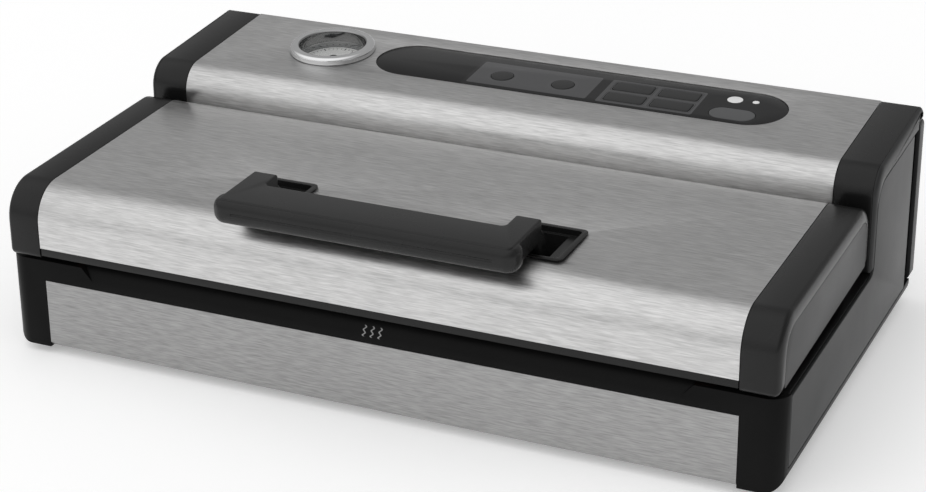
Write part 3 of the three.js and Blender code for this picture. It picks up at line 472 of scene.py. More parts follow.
def make_lens():
    """Clear glass: what shows is mostly behind it, and more of the room at a flat angle."""
    f = Finish("lens_glass", Roughness=0.03, Base_Color=(0.10, 0.11, 0.115, 1))
    facing = f.add("ShaderNodeLayerWeight", None, {"Blend": 0.25}, out="Fresnel")
    smear = f.stretched((120, 120, 120), detail=3)
    f.feed("Alpha", (facing * 0.3 + smear * 0.03 + 0.04).clamped())


STROKE_PITCH, STROKE_HALF = 5, 0.45
HEAT_SIGN = ((0, 57.2), (7.4, 2.9), 0.2)


def make_front_band():
    """The base moulding's plastic, with three light wavy strokes as a plain sign for heat."""
    f = Finish("front_band", Specular_IOR_Level=0.07)
    x, y, z = f.parts(f.place)
    sway = (z * 2200).math("SINE") * (0.7 * MM)
    nearest = abs(((x + sway) / (STROKE_PITCH * MM) + 0.5).math("FRACT") - 0.5) * (STROKE_PITCH * MM)
    strokes = soft_mask(nearest - STROKE_HALF * MM)
    window = inside_box(x, z, *HEAT_SIGN) * ((-0.12 - y) * 1000).clamped()
    worn = f.stretched((22, 22, 22), detail=3)
    level = worn * 0.004 + 0.004 + strokes * window * 0.3
    f.feed("Base Color", f.shade(level))
    f.feed("Roughness", worn * 0.14 + 0.3)
    f.bump(f.stretched((2600, 2600, 2600)), 0.12, 0.0001)


make_panel_film()
make_dial()
make_lens()
make_chrome()
make_front_band()
print("gauge centre x:", round(GAUGE_X, 4), "finishes:", len(FINISHES))

# %% [markdown]
# ## Shapes from rounded outlines
# Nearly every shell here is one outline pushed along a line: the lid's section along X, a key's outline
# along the top's normal. An outline is a list of corners with a radius each. To round the edge where the
# push ends, the last few rings step inwards along a quarter circle, which keeps the faces in clean rows.

# %% Outlines and blocks
ARC = 10


def rounded(corners, inset=0.0, steps=ARC):
    """The points of a closed outline through (a, b, radius) corners, with every side moved in by inset."""
    count = len(corners)
    area = sum(corners[k - 1][0] * corners[k][1] - corners[k][0] * corners[k - 1][1] for k in range(count))
    hand = 1 if area > 0 else -1
    points = []
    for k, (a, b, radius) in enumerate(corners):
        here = Vector((a, b))
        into = (here - Vector(corners[k - 1][:2])).normalized()
        away = (Vector(corners[(k + 1) % count][:2]) - here).normalized()
        side_in = Vector((-into.y, into.x)) * hand
        side_out = Vector((-away.y, away.x)) * hand
        place = here + (side_in + side_out) * (inset / (1 + side_in.dot(side_out)))
        bulge = 1 if (into.x * away.y - into.y * away.x) * hand > 0 else -1
        bend = into.angle(away)
        arc = max(radius - bulge * inset, 1e-5)
        start = place - into * (arc * tan(bend / 2))
        centre = start + side_in * (arc * bulge)
        for step in range(steps + 1):
            swing = Matrix.Rotation(bend * step / steps * hand * bulge, 2)
            points.append(centre + swing @ (start - centre))
    return points


def along_x(a, b, h):
    return Vector((h, a, b))


def along_y(a, b, h):
    return Vector((a, h, b))


def along_z(a, b, h):
    return Vector((a, b, h))


def along_top(a, b, h):
    return on_top(a, b, h)


def block(name, corners, low, high, push=along_z, edge_low=(0, 0), edge_high=(0, 0), steps=5, arc=ARC):
    """An outline pushed from low to high, in millimetres, with a rounded edge (deep, wide) at either end."""
    levels = []
    for step in range(steps + 1 if edge_low[0] else 1):
        turn = pi / 2 * step / steps
        levels.append((low + edge_low[0] * (1 - cos(turn)), edge_low[1] * (1 - sin(turn))))
    for step in range(steps + 1 if edge_high[0] else 1):
        turn = pi / 2 * (1 - step / steps)
        levels.append((high - edge_high[0] * (1 - cos(turn)), edge_high[1] * (1 - sin(turn))))
    rings = [[push(p.x * MM, p.y * MM, h * MM) for p in rounded(corners, inset, arc)] for h, inset in levels]
    return lofted(name, rings)


def lofted(name, rings):
    """A closed skin over a stack of rings that have the same number of points."""
    mesh = bmesh.new()
    rows = [[mesh.verts.new(p) for p in ring] for ring in rings]
    for row, above in zip(rows, rows[1:]):
        for k in range(len(row)):
            mesh.faces.new((row[k - 1], row[k], above[k], above[k - 1]))
    mesh.faces.new(rows[0])
    mesh.faces.new(rows[-1])
    bmesh.ops.remove_doubles(mesh, verts=mesh.verts, dist=1e-7)
    bmesh.ops.recalc_face_normals(mesh, faces=mesh.faces)
    return as_object(name, mesh)


def as_object(name, mesh):
    """Turns a bmesh into an object in the scene."""
    data = bpy.data.meshes.new(name)
    mesh.to_mesh(data)
    mesh.free()
    made = bpy.data.objects.new(name, data)
    bpy.context.scene.collection.objects.link(made)
    return made


def turned(name, profile, push=along_z, centre=(0, 0), steps=64, ring=False):
    """A profile of (radius, height) turned about an axis. A ring's profile closes on itself."""
    mesh = bmesh.new()
    rows = []
    for k in range(steps):
        angle = 2 * pi * k / steps
        places = [(centre[0] + r * cos(angle), centre[1] + r * sin(angle), h) for r, h in profile]
        rows.append([mesh.verts.new(push(a * MM, b * MM, h * MM)) for a, b, h in places])
    sides = range(len(profile)) if ring else range(1, len(profile))
    for row, next_row in zip(rows, rows[1:] + rows[:1]):
        for k in sides:
            mesh.faces.new((row[k - 1], row[k], next_row[k], next_row[k - 1]))
    bmesh.ops.remove_doubles(mesh, verts=mesh.verts, dist=1e-7)
    bmesh.ops.dissolve_degenerate(mesh, edges=mesh.edges, dist=1e-8)
    bmesh.ops.recalc_face_normals(mesh, faces=mesh.faces)
    return as_object(name, mesh)


def rect(a0, a1, b0, b1, radius=0.02):
    return [(a0, b0, radius), (a1, b0, radius), (a1, b1, radius), (a0, b1, radius)]


print("a rounded square has", len(rounded(rect(0, 1, 0, 1, 0.2))), "points")

# %% [markdown]
# ## Cutting, bevelling and dressing
# A real edge is never sharp: it is broken by half a millimetre, and that thin line of light is what the eye
# reads as a solid thing. So each piece ends with a Bevel on its hard edges. Cuts are Boolean modifiers, and
# both are applied by taking the evaluated mesh, so that the finished piece is plain geometry.

# %% Finishing a piece
def baked(piece):
    """Replaces a piece's mesh by the one its modifiers make, and removes the modifiers."""
    bpy.context.view_layer.update()
    seen = piece.evaluated_get(bpy.context.evaluated_depsgraph_get())
    made = bpy.data.meshes.new_from_object(seen)
    old = piece.data
    piece.modifiers.clear()
    piece.data = made
    bpy.data.meshes.remove(old)
    return piece


def carve(piece, *cutters, operation="DIFFERENCE"):
    """Cuts each cutter out of the piece. INTERSECT leaves only what they share, and UNION joins them."""
    for cutter in cutters:
        knife = piece.modifiers.new("cut", "BOOLEAN")
        knife.operation = operation
        knife.solver = "MANIFOLD"
        knife.object = cutter
        baked(piece)
        bpy.data.objects.remove(cutter)
    return piece


def soften(piece, width, segments=2, angle=35, smooth=40):
    """Breaks the hard edges, and shades what is left as smooth."""
    if width:
        bevel = piece.modifiers.new("edge", "BEVEL")
        bevel.width = width * MM
        bevel.segments = segments
        bevel.limit_method = "ANGLE"
        bevel.angle_limit = radians(angle)
        bevel.use_clamp_overlap = True
        baked(piece)
    mesh = bmesh.new()
    mesh.from_mesh(piece.data)
    for face in mesh.faces:
        face.smooth = True
    for edge in mesh.edges:
        edge.smooth = len(edge.link_faces) == 2 and edge.calc_face_angle(0.0) < radians(smooth)
    mesh.to_mesh(piece.data)
    mesh.free()
    return piece


def dress(piece, slot, body="base", replaces=(), finish=None):
    """Paints a piece with its finish, lets it ride on a body, and hides the CAD nodes that it replaces."""
    piece.data.materials.clear()
    piece.data.materials.append(FINISHES[finish or slot])
    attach(piece, body)
    if replaces:
        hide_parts(*([replaces] if isinstance(replaces, str) else replaces))
    return piece


def mirror(piece, name):
    """A copy on the other side of the middle plane, turned the right way out."""
    mesh = bmesh.new()
    mesh.from_mesh(piece.data)
    bmesh.ops.scale(mesh, vec=(-1, 1, 1), verts=mesh.verts)
    bmesh.ops.reverse_faces(mesh, faces=mesh.faces)
    return as_object(name, mesh)


def dress_pair(piece, slot, body, node=None):
    """Dresses a right-hand piece, and before it its mirror image for the left."""
    left = mirror(piece, piece.name.replace("right", "left"))
    dress(left, slot, body, node + "_left" if node else ())
    dress(piece, slot, body, node + "_right" if node else ())


def refined(node, edge, segments=2, name=None):
    """A fine copy of a CAD node: its triangles merged to flat faces and its hard edges broken."""
    mesh = bmesh.new()
    mesh.from_mesh(frame["nodes"][node].data)
    bmesh.ops.remove_doubles(mesh, verts=mesh.verts, dist=2e-6)
    bmesh.ops.dissolve_limit(mesh, angle_limit=radians(0.6), verts=mesh.verts, edges=mesh.edges)
    return soften(as_object(name or node + "_fine", mesh), edge, segments)


body_of = {node: body for body, nodes in frame["record"]["behaviour"]["bodies"].items() for node in nodes}
slot_of = {row["node"]: row["material_slot"] for row in frame["record"]["subparts"]}
print("finishing helpers ready for", len(slot_of), "nodes")

# %% [markdown]
# ## The lid's steel skin
# One sheet is bent over the front edge and rolled round the hinge at the back. Its section is an outline
# that runs out over the top and back again 1.2 mm lower, pushed along X. Two holes let the handle through.

# %% Lid skin
SHEET = 1.2
HALF_STEEL = 221.5
LID_FRONT, LID_REAR = -140.5, 37.5
LID_TOP_FRONT, LID_TOP_REAR = 110.25, 112.2
LID_BENDS = (22.5, 18)
POCKET = (68.3, 105.7, -112.2, -69.8)


def lid_section(inset, bottom_front, bottom_rear):
    """Corners of the lid's outline, from its front foot over the top to its rear foot."""
    return [
        (LID_FRONT + inset, bottom_front, 0.02),
        (LID_FRONT + inset, LID_TOP_FRONT - inset, LID_BENDS[0] - inset),
        (LID_REAR - inset, LID_TOP_REAR - inset, LID_BENDS[1] - inset),
        (LID_REAR - inset, bottom_rear, 0.02),
    ]


sheet_section = lid_section(0, 73, 80) + list(reversed(lid_section(SHEET, 73.05, 80.05)))
lid_skin = block("lid_steel_skin", sheet_section, -HALF_STEEL, HALF_STEEL, along_x, arc=16)
for side in (1, -1):
    x_edges = sorted(side * x for x in (POCKET[0] - 0.4, POCKET[1] + 0.4))
    hole = block("hole", rect(*x_edges, POCKET[2] - 0.4, POCKET[3] + 0.4, 3), 95, 130)
    carve(lid_skin, hole)
dress(soften(lid_skin, 0.25, 2), "brushed_steel", "lid", "lid_skin")
print("lid skin faces:", len(lid_skin.data.polygons))

# %% [markdown]
# ## The lid's end caps
# A moulded cap closes each end of the lid. Its outer edge is rounded, wider than it is deep, so the block
# takes an edge of (deep, wide). The inside is hollow, with a slot for the hinge bracket and a hole for
# its pin.

# %% Lid end caps
HINGE_PIN = (19.5, 94)


def lid_cap_section(inset):
    return [
        (LID_FRONT + inset, 65.4 + inset, 4),
        (LID_FRONT + inset, LID_TOP_FRONT - inset, LID_BENDS[0] - inset),
        (LID_REAR - inset, LID_TOP_REAR - inset, LID_BENDS[1] - inset),
        (LID_REAR - inset, 70.2 + inset, 8),
    ]


def side_plate_section(spare):
    return [
        (-132 - spare, 68.5 - spare, 1.5),
        (-132 - spare, 101.8 + spare, 14 + spare),
        (29.5 + spare, 104.1 + spare, 10 + spare),
        (29.5 + spare, 72.5 - spare, 1.5),
    ]


lid_cap = block("lid_cap_right", lid_cap_section(0), 222, 244.8, along_x, edge_high=(4, 7.5), steps=8, arc=16)
hollow = block("hollow", lid_section(3, 20, 20), 215, 241.8, along_x)
carve(hollow, block("front_half", rect(200, 260, -200, 2), 0, 200), operation="INTERSECT")
slot_way = block("slot_way", rect(227.4, 238.6, 1, 60), 0, 101.8)
pin_hole = turned("pin_hole", [(0, 215), (3.35, 215), (3.35, 243.2), (0, 243.2)], along_x, HINGE_PIN, 32)
plate_seat = block("plate_seat", side_plate_section(0.3), 243.7, 260, along_x)
carve(lid_cap, hollow, slot_way, pin_hole, plate_seat)
soften(lid_cap, 0.35)
side_plate = soften(block("lid_plate_right", side_plate_section(0), 244, 244.8, along_x), 0.2)
dress_pair(lid_cap, "black_plastic", "lid", "lid_end_cap")
# painted light: the lid's side plates take the lighter grey, for sides that look lit
dress_pair(side_plate, "grey_plastic", "lid", "lid_side_plate")
print("lid caps and side plates made")

# %% [markdown]
# ## The rear housing
# Its steel skin bends round the front edge and slopes up to the back. The black end caps follow the same
# outline a little lower at the rear, and a rim whose lighter grey is painted light finishes the side, flush
# with the side panel.

# %% Rear housing skin
HOUSING_FRONT, HOUSING_REAR = 38.5, 147.5
CAP_REAR, CAP_BEND = 149, 6.4
HALF_SKIN, HALF_WIDTH = 220.3, 247.5
HOUSING_BEND = 17


def top_mm(y):
    return top_height(y * MM) / MM


def housing_section(inset, bottom, rear, rear_bend, rear_bottom):
    return [
        (HOUSING_FRONT + inset, bottom, 0.02),
        (HOUSING_FRONT + inset, top_mm(HOUSING_FRONT) - inset, HOUSING_BEND - inset),
        (rear - inset, top_mm(rear) - inset, rear_bend - inset),
        (rear - inset, rear_bottom, 0.02),
    ]


skin_section = housing_section(0, 64.5, HOUSING_REAR, 3.5, 125.6)
skin_section += reversed(housing_section(SHEET, 64.55, HOUSING_REAR, 3.5, 125.65))
rear_skin = block("rear_steel_skin", skin_section, -HALF_SKIN, HALF_SKIN, along_x, arc=16)
PANEL_X, PANEL_HALF, PANEL_RADIUS = 31, 115, 25.4


def stadium(centre_x, centre_s, half, radius):
    reach = half + radius
    return rect(centre_x - reach, centre_x + reach, centre_s - radius, centre_s + radius, radius - 0.01)


gauge_hole = turned("gauge_hole", [(0, -20), (24.8, -20), (24.8, 10), (0, 10)], along_top,
                    (GAUGE_X / MM, GAUGE_S / MM))
panel_hole = block("panel_hole", stadium(PANEL_X, 0, PANEL_HALF, PANEL_RADIUS), -20, 10, along_top, arc=20)
carve(rear_skin, gauge_hole, panel_hole)
dress(soften(rear_skin, 0.3, 2), "brushed_steel", "base", "rear_skin")
print("rear skin faces:", len(rear_skin.data.polygons))

# %% Rear end caps and side rims
RIM_X = 244.6


def rear_cap_section(inset):
    return [
        (HOUSING_FRONT + inset, 64 + inset, 0.4),
        (HOUSING_FRONT + inset, top_mm(HOUSING_FRONT) - inset, HOUSING_BEND - inset),
        (CAP_REAR - inset, top_mm(CAP_REAR) - inset, CAP_BEND - inset),
        (CAP_REAR - inset, 125.4 + inset, 0.4),
        (139.2 - inset, 125.4 + inset, 0.4),
        (139.2 - inset, 64 + inset, 0.4),
    ]


side_seat = [(41.7, 40, 0.02), (125.8, 40, 0.02), (125.8, 122, 0.4), (41.7, 119.8, 15.3)]
groove_section = rect(125.8, 160, 40, 122)
rear_cap = block("rear_cap_right", rear_cap_section(0), 220.8, RIM_X, along_x,
                 edge_high=(0.5, 0.5), steps=3, arc=16)
rear_rim = block("rear_rim_right", rear_cap_section(0), RIM_X + 0.05, HALF_WIDTH, along_x,
                 edge_low=(0.2, 0.2), edge_high=(2.9, 5.5), steps=6, arc=16)
cap_hollow = block("cap_hollow", housing_section(3, 20, CAP_REAR, CAP_BEND, 20), 215, 242.7, along_x)
carve(cap_hollow, block("front_part", rect(200, 260, 0, 136.2), 0, 200), operation="INTERSECT")
carve(rear_cap, cap_hollow, block("groove", groove_section, 240, 260, along_x))
carve(rear_rim, block("seat", side_seat, 240, 260, along_x),
      block("groove", groove_section, 240, 260, along_x))
dress_pair(soften(rear_cap, 0.3), "black_plastic", "base", "rear_end_cap")
# painted light: the rims take the lighter grey, for sides that look lit
dress_pair(soften(rear_rim, 0.3), "grey_plastic", "base")
print("rear caps and rims made")

# %% [markdown]
# ## Side panels, front panel and the base moulding
# The side panel is one L-shaped plate, low beside the lid and tall beside the housing. The front panel is a
# steel sheet with a rolled lower edge. The base moulding has many small seats, so the CAD shape is kept and
# only its edges are broken.

# %% Panels and base
L_PLATE = [
    (-125.8, 17.2, 1.2), (125.4, 17.2, 1.2), (125.4, 121.6, 1.0), (42, 118.8, 15),
    (42, 63.4, 6), (34, 62.2, 10), (-125.8, 61.8, 1.2),
]
side_panel = block("side_plate_right", L_PLATE, 246, HALF_WIDTH, along_x, edge_high=(0.5, 0.5), steps=3)
# painted light: the side panels take the lighter grey, for sides that look lit
dress_pair(soften(side_panel, 0), "grey_plastic", "base", "side_panel")

FRONT = -137.5
front_section = [
    (FRONT, 50, 0.02), (FRONT, 6, 3), (-130, 6, 0.02),
    (-130, 6 + SHEET, 0.02), (FRONT + SHEET, 6 + SHEET, 1.8), (FRONT + SHEET, 50, 0.02),
]
front_panel = block("front_steel_panel", front_section, -HALF_STEEL, HALF_STEEL, along_x)
# painted shade: the front panel takes the darker copy of the brushed steel
dress(soften(front_panel, 0.25), "brushed_steel", "base", "front_trim_panel", finish="front_steel")
dress(refined("base_frame", 0.7, 3), "black_plastic", "base", "base_frame", finish="front_band")
print("front panel and base moulding made")

# %% [markdown]
# ## The handle
# A U-shaped grip stands in front of the lid on two arms. Its plan is an outline pushed up Z, with a bar
# that bulges at the front joined to it, and a shallow groove along the bar. The legs inside the
# pockets go down to the latch shaft and belong to the same moulding.

# %% Handle
GRIP_HALF, GRIP_ARM = 91.6, 15.8
GRIP_FRONT, GRIP_REAR, GRIP_REACH = -151, -119, -102.5
PLATE_FRONT, BAR_HALF = -148, 95.5
GRIP_UNDER, GRIP_TOP = 115.5, 130.5
GROOVE_Z = 123
LATCH_SHAFT = (-92, 94)
arm_inside = GRIP_HALF - GRIP_ARM
grip_plan = [
    (-GRIP_HALF, GRIP_REACH, 1.5), (-GRIP_HALF, PLATE_FRONT, 4), (GRIP_HALF, PLATE_FRONT, 4),
    (GRIP_HALF, GRIP_REACH, 1.5), (arm_inside, GRIP_REACH, 1.5), (arm_inside, GRIP_REAR, 3),
    (-arm_inside, GRIP_REAR, 3), (-arm_inside, GRIP_REACH, 1.5),
]
handle = block("grip", grip_plan, GRIP_UNDER, GRIP_TOP, along_z,
               edge_low=(2.6, 2.6), edge_high=(1.2, 1.2), steps=6)
bar = block("grip_bar", rect(-BAR_HALF, BAR_HALF, GRIP_FRONT, -133, 8), GRIP_UNDER, GRIP_TOP - 0.7, along_z,
            edge_low=(6.5, 4.5), edge_high=(5.5, 3.2), steps=8)
carve(handle, bar, operation="UNION")
groove_ends = BAR_HALF - 14
groove = [(0, -groove_ends), (0.9, -groove_ends), (0.9, groove_ends), (0, groove_ends)]
carve(handle, turned("groove", groove, along_x, (GRIP_FRONT - 0.4, GROOVE_Z), 24))
dress(soften(handle, 0.25, 2), "handle_plastic", "latch_handle")

leg_section = [
    (-84, 94, 0.5), (-84, 86, 7.4), (-100, 86, 7.4), (-100.4, 97, 4), (-107, 116, 1), (-108, 124, 1),
    (-104.5, 126.5, 1), (-97.5, 119, 2), (-86, 100, 6),
]
right_leg = block("handle_leg_right", leg_section, arm_inside + 0.6, GRIP_HALF - 0.6, along_x,
                  edge_low=(0.8, 0.8), edge_high=(0.8, 0.8), steps=3)
carve(right_leg, turned("bore", [(0, 60), (4.35, 60), (4.35, 100), (0, 100)], along_x, LATCH_SHAFT, 32))
dress_pair(soften(right_leg, 0.2), "handle_plastic", "latch_handle")
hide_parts("handle")
print("handle box:", [round(v, 4) for v in handle.dimensions])

# %% [markdown]
# ## The vacuum gauge
# A chrome ring stands on the steel, with the dial sunk 7 mm below and a domed glass over it. All of them
# are profiles turned about the gauge's own axis. The marks round the dial repeat, so Geometry Nodes make
# them: a circle of points carries one bar each, long ones at every fifth, turned to point inwards.

# %% Gauge ring, case, dial, needle and glass
GAUGE_CENTRE = (GAUGE_X / MM, GAUGE_S / MM)


def arc_profile(centre, radius, start, end, steps=8):
    """Points of (radius, height) along an arc, angles in degrees."""
    return [(centre[0] + radius * cos(radians(start + (end - start) * k / steps)),
             centre[1] + radius * sin(radians(start + (end - start) * k / steps))) for k in range(steps + 1)]


ring_profile = [(28.5, 0.3), *arc_profile((26.3, 2.6), 2.2, 0, 90, 10)]
ring_profile += [*arc_profile((23.3, 3.6), 1.2, 90, 180, 8), (22.1, -8), (24.4, -8), (24.4, 0.3)]
gauge_ring = turned("gauge_ring", ring_profile, along_top, GAUGE_CENTRE, 96, ring=True)
dress(soften(gauge_ring, 0), "chrome_ring", "base", "gauge_bezel")
case_profile = [(0, -26), (23, -26), (24, -25), (24.3, -8.4), (21.9, -8.4), (21.6, -23.5), (0, -23.5)]
gauge_cup = turned("gauge_cup", case_profile, along_top, GAUGE_CENTRE)
dress(soften(gauge_cup, 0), "black_plastic", "base", "gauge_case")
dial_profile = [(1.6, -8), (21.6, -8), (21.6, -7.35), (21.45, -7.2), (1.6, -7.2)]
dial = turned("gauge_face", dial_profile, along_top, GAUGE_CENTRE, 96, ring=True)
dress(soften(dial, 0), "dial_face", "base", "gauge_dial")
glass_profile = [(0, -3.4), (21.5, -3.4), (21.7, -3.2), (21.7, -2.4)]
glass_profile += [(21.5 * (1 - k / 8), -2.3 + 0.7 * sin(pi / 2 * k / 8)) for k in range(9)]
lens = turned("gauge_glass", glass_profile, along_top, GAUGE_CENTRE, 96)
dress(soften(lens, 0), "lens_glass", "base", "gauge_lens")
dress(refined("gauge_needle", 0.15), "key_dark", "needle", "gauge_needle", finish="ink_black")
print("gauge ring faces:", len(gauge_ring.data.polygons))

# %% [markdown]
# ## Geometry Nodes helpers
# A tree is built with named inputs for its sizes, run once as a modifier, and turned into a plain mesh.
# It ends in Realize Instances and Set Material, so that every copy is real geometry with its finish.

# %% Geometry trees
class Pattern(Graph):
    """A Geometry Nodes tree with named inputs."""

    def __init__(self, name, **inputs):
        super().__init__(bpy.data.node_groups.new(name, "GeometryNodeTree"))
        self.tree.interface.new_socket("Geometry", in_out="OUTPUT", socket_type="NodeSocketGeometry")
        self.tree.interface.new_socket("Geometry", in_out="INPUT", socket_type="NodeSocketGeometry")
        self.keys = {}
        for label, kind in inputs.items():
            socket = self.tree.interface.new_socket(label, in_out="INPUT", socket_type=kind)
            self.keys[label] = socket.identifier
        self.source = self.tree.nodes.new("NodeGroupInput")
        self.start = Wire(self, self.source.outputs["Geometry"])

    def given(self, label):
        return Wire(self, self.source.outputs[label])

    def end(self, geometry):
        real = self.add("GeometryNodeRealizeInstances", None, {"Geometry": geometry})
        painted = self.add("GeometryNodeSetMaterial", None,
                           {"Geometry": real, "Material": self.given("Finish")})
        self.tree.links.new(painted.socket, self.tree.nodes.new("NodeGroupOutput").inputs["Geometry"])
        return self

    def run(self, piece, **values):
        """Runs the tree on a piece with these inputs, and bakes the result into it."""
        modifier = piece.modifiers.new("pattern", "NODES")
        modifier.node_group = self.tree
        for label, value in values.items():
            modifier[self.keys[label]] = value
        return baked(piece)


def vector_of(graph, **parts):
    return graph.add("ShaderNodeCombineXYZ", None, parts)


def dotted(name, places, facing):
    """A mesh of loose points, each with a direction that it faces."""
    data = bpy.data.meshes.new(name)
    data.from_pydata([tuple(v * MM for v in place) for place in places], [], [])
    directions = data.attributes.new("facing", "FLOAT_VECTOR", "POINT")
    directions.data.foreach_set("vector", [v for _ in places for v in facing])
    made = bpy.data.objects.new(name, data)
    bpy.context.scene.collection.objects.link(made)
    return made


print("pattern helpers ready")

# %% Dial marks
def dial_marks_tree():
    p = Pattern("dial_marks", Radius="NodeSocketFloat", Marks="NodeSocketInt", Turn="NodeSocketFloat",
                Finish="NodeSocketMaterial")
    line = p.add("GeometryNodeMeshLine", None, {"Count": p.given("Marks")})
    number = p.add("GeometryNodeInputIndex")
    share = number / (p.given("Marks") - 1)
    angle = p.given("Turn") * (share - 0.5)
    long_one = 1 - (number.math("MODULO", 5)).high(0.0).low(1.0)
    place = vector_of(p, X=angle.math("SINE") * p.given("Radius"), Y=angle.math("COSINE") * p.given("Radius"))
    moved = p.add("GeometryNodeSetPosition", None, {"Geometry": line, "Position": place})
    bar = p.add("GeometryNodeMeshCube", None, {"Size": (0.00045, 0.0017, 0.0003)})
    turn = vector_of(p, Z=0 - angle)
    size = vector_of(p, X=long_one * 0.5 + 0.7, Y=long_one * 0.9 + 0.8, Z=1.0)
    bars = p.add("GeometryNodeInstanceOnPoints", None,
                 {"Points": moved, "Instance": bar, "Rotation": turn, "Scale": size})
    return p.end(bars)


marks = dotted("dial_marks", [(0, 0, 0)], (0, 0, 1))
dial_marks_tree().run(marks, Radius=18.2 * MM, Marks=31, Turn=radians(270), Finish=FINISHES["ink_black"])
for vertex in marks.data.vertices:
    x, s, h = vertex.co
    vertex.co = on_top(GAUGE_X + x, GAUGE_S + s, h - 7.15 * MM)
dress(soften(marks, 0), "dial_face", "base", finish="ink_black")
print("dial marks faces:", len(marks.data.polygons))

# %% [markdown]
# ## The key panel
# The film's plate sits in the steel's stadium hole, half a millimetre below it. Each key is its own small
# moulding that fills its hole and stands a little proud, with a soft edge. The keys ride on bodies of their
# own, so that each one can be pressed.

# %% Panel plate and keys
FILM_TOP, FILM_UNDER = -0.5, -3.4
KEY_TOP, KEY_FOOT = -0.2, -4.8


def round_outline(centre, radius):
    return rect(centre[0] - radius, centre[0] + radius, centre[1] - radius, centre[1] + radius, radius - 0.01)


def key_outlines():
    """Each key's node name, outline at a growth, and slot."""
    for name, place in zip(("vacuum_key", "seal_key"), ROUND_KEYS):
        yield name, lambda grow, place=place: round_outline(place, 7.3 + grow), "key_dark"
    for number, (x, s) in enumerate(MODE_KEYS, 1):
        yield (f"mode_key_{number}", lambda grow, x=x, s=s: rect(
            x - MODE_KEY_HALF[0] - grow, x + MODE_KEY_HALF[0] + grow,
            s - MODE_KEY_HALF[1] - grow, s + MODE_KEY_HALF[1] + grow, 2), "key_dark")
    yield "stop_key", lambda grow: stadium(139, -10.9, 6.5, 8.2 + grow), "key_grey"


plate = block("panel_plate", stadium(PANEL_X, 0, PANEL_HALF, PANEL_RADIUS - 0.3), FILM_UNDER, FILM_TOP,
              along_top, edge_high=(0.25, 0.25), steps=3, arc=20)
for name, outline, slot in key_outlines():
    carve(plate, block("key_hole", outline(0.4), -10, 5, along_top))
LAMPS = (("status_lamp", (134, 11.3), 5), ("ready_lamp", (147.5, 11.8), 2.2))
for name, place, radius in LAMPS:
    carve(plate, block("lamp_hole", round_outline(place, radius + 0.3), -10, 5, along_top))
dress(soften(plate, 0), "panel_gloss", "base", "control_fascia")
for name, outline, slot in key_outlines():
    cap = block(name + "_cap", outline(0), KEY_FOOT, KEY_TOP, along_top,
                edge_high=(0.35, 0.8), steps=4, arc=12)
    dress(soften(cap, 0), slot, body_of[name], name)
for name, place, radius in LAMPS:
    dome = [(0, KEY_FOOT), (radius, KEY_FOOT), (radius, FILM_TOP)]
    dome += [(radius * cos(radians(k * 15)), FILM_TOP + 0.3 * sin(radians(k * 15))) for k in range(1, 7)]
    dress(soften(turned(name + "_dome", dome, along_top, place, 48), 0), "lamp_diffuser", "base", name)
print("panel plate faces:", len(plate.data.polygons))

# %% [markdown]
# ## Screws
# Screws repeat, and each sits on a face and points out of it. So the places are loose points with a
# "facing" direction, and the tree puts one head on each: a low cone with a cross cut into it by a Mesh
# Boolean, turned by Align Rotation to Vector. The Boolean keeps the whole head only on the socket's two
# screws: of the others just the walls of the cross are left.

# %% Screw tree
def screw_tree():
    p = Pattern("screw_heads", Radius="NodeSocketFloat", Height="NodeSocketFloat",
                Finish="NodeSocketMaterial")
    radius, height = p.given("Radius"), p.given("Height")
    head = p.add("GeometryNodeMeshCone", None, {"Vertices": 28, "Radius Top": radius * 0.62,
                                                "Radius Bottom": radius, "Depth": height})
    lift = vector_of(p, Z=height * 0.75)
    long_side, short_side = radius * 1.15, radius * 0.24
    bar_1 = p.add("GeometryNodeMeshCube", None, {"Size": vector_of(p, X=long_side, Y=short_side, Z=height)})
    bar_2 = p.add("GeometryNodeMeshCube", None, {"Size": vector_of(p, X=short_side, Y=long_side, Z=height)})
    cross = p.add("GeometryNodeTransform", None, {"Geometry": p.join(bar_1, bar_2), "Translation": lift})
    cut = p.add("GeometryNodeMeshBoolean", {"operation": "DIFFERENCE"}, {"Mesh 1": head, "Mesh 2": cross})
    facing = p.add("GeometryNodeInputNamedAttribute", {"data_type": "FLOAT_VECTOR"}, {"Name": "facing"})
    turn = p.add("FunctionNodeAlignRotationToVector", {"axis": "Z"}, {"Vector": facing})
    heads = p.add("GeometryNodeInstanceOnPoints", None,
                  {"Points": p.start, "Instance": cut, "Rotation": turn})
    return p.end(heads)


SCREWS = screw_tree()


def add_screws(name, places, facing, radius, height, body="base"):
    heads = dotted(name, places, facing)
    SCREWS.run(heads, Radius=radius * MM, Height=height * MM, Finish=FINISHES["plain_steel"])
    heads.data.transform(Matrix.Translation(Vector(facing) * (height / 2 * MM)))
    return dress(soften(heads, 0), "plain_steel", body)


bottom_places = [(x, y, 5.2) for x in (-228, -76, 76, 228) for y in (-121, 128)]
add_screws("screws_bottom", bottom_places, (0, 0, -1), 3.2, 1.6)
rear_places = [(x, 149, z) for x in (-236, -80, 80, 236) for z in (25, 117)]
add_screws("screws_rear_cover", rear_places, (0, 1, 0), 3.0, 1.5)
hinge_places = [(x, y, 65.7) for x in (-232.9, 232.9) for y in (9.2, 30.2)]
add_screws("screws_hinge", hinge_places, (0, 0, 1), 2.2, 1.2)
plate_places = [(x, y, 76.4) for x in (-190, 0, 190) for y in (-91, -31)]
add_screws("screws_chamber_plate", plate_places, (0, 0, -1), 2.2, 1.2, "lid")
inlet_places = [(x, 151, 46) for x in (169.6, 200.4)]
add_screws("screws_inlet", inlet_places, (0, 1, 0), 1.5, 0.9)
print("screws:", sum(map(len, (bottom_places, rear_places, hinge_places, plate_places, inlet_places))))

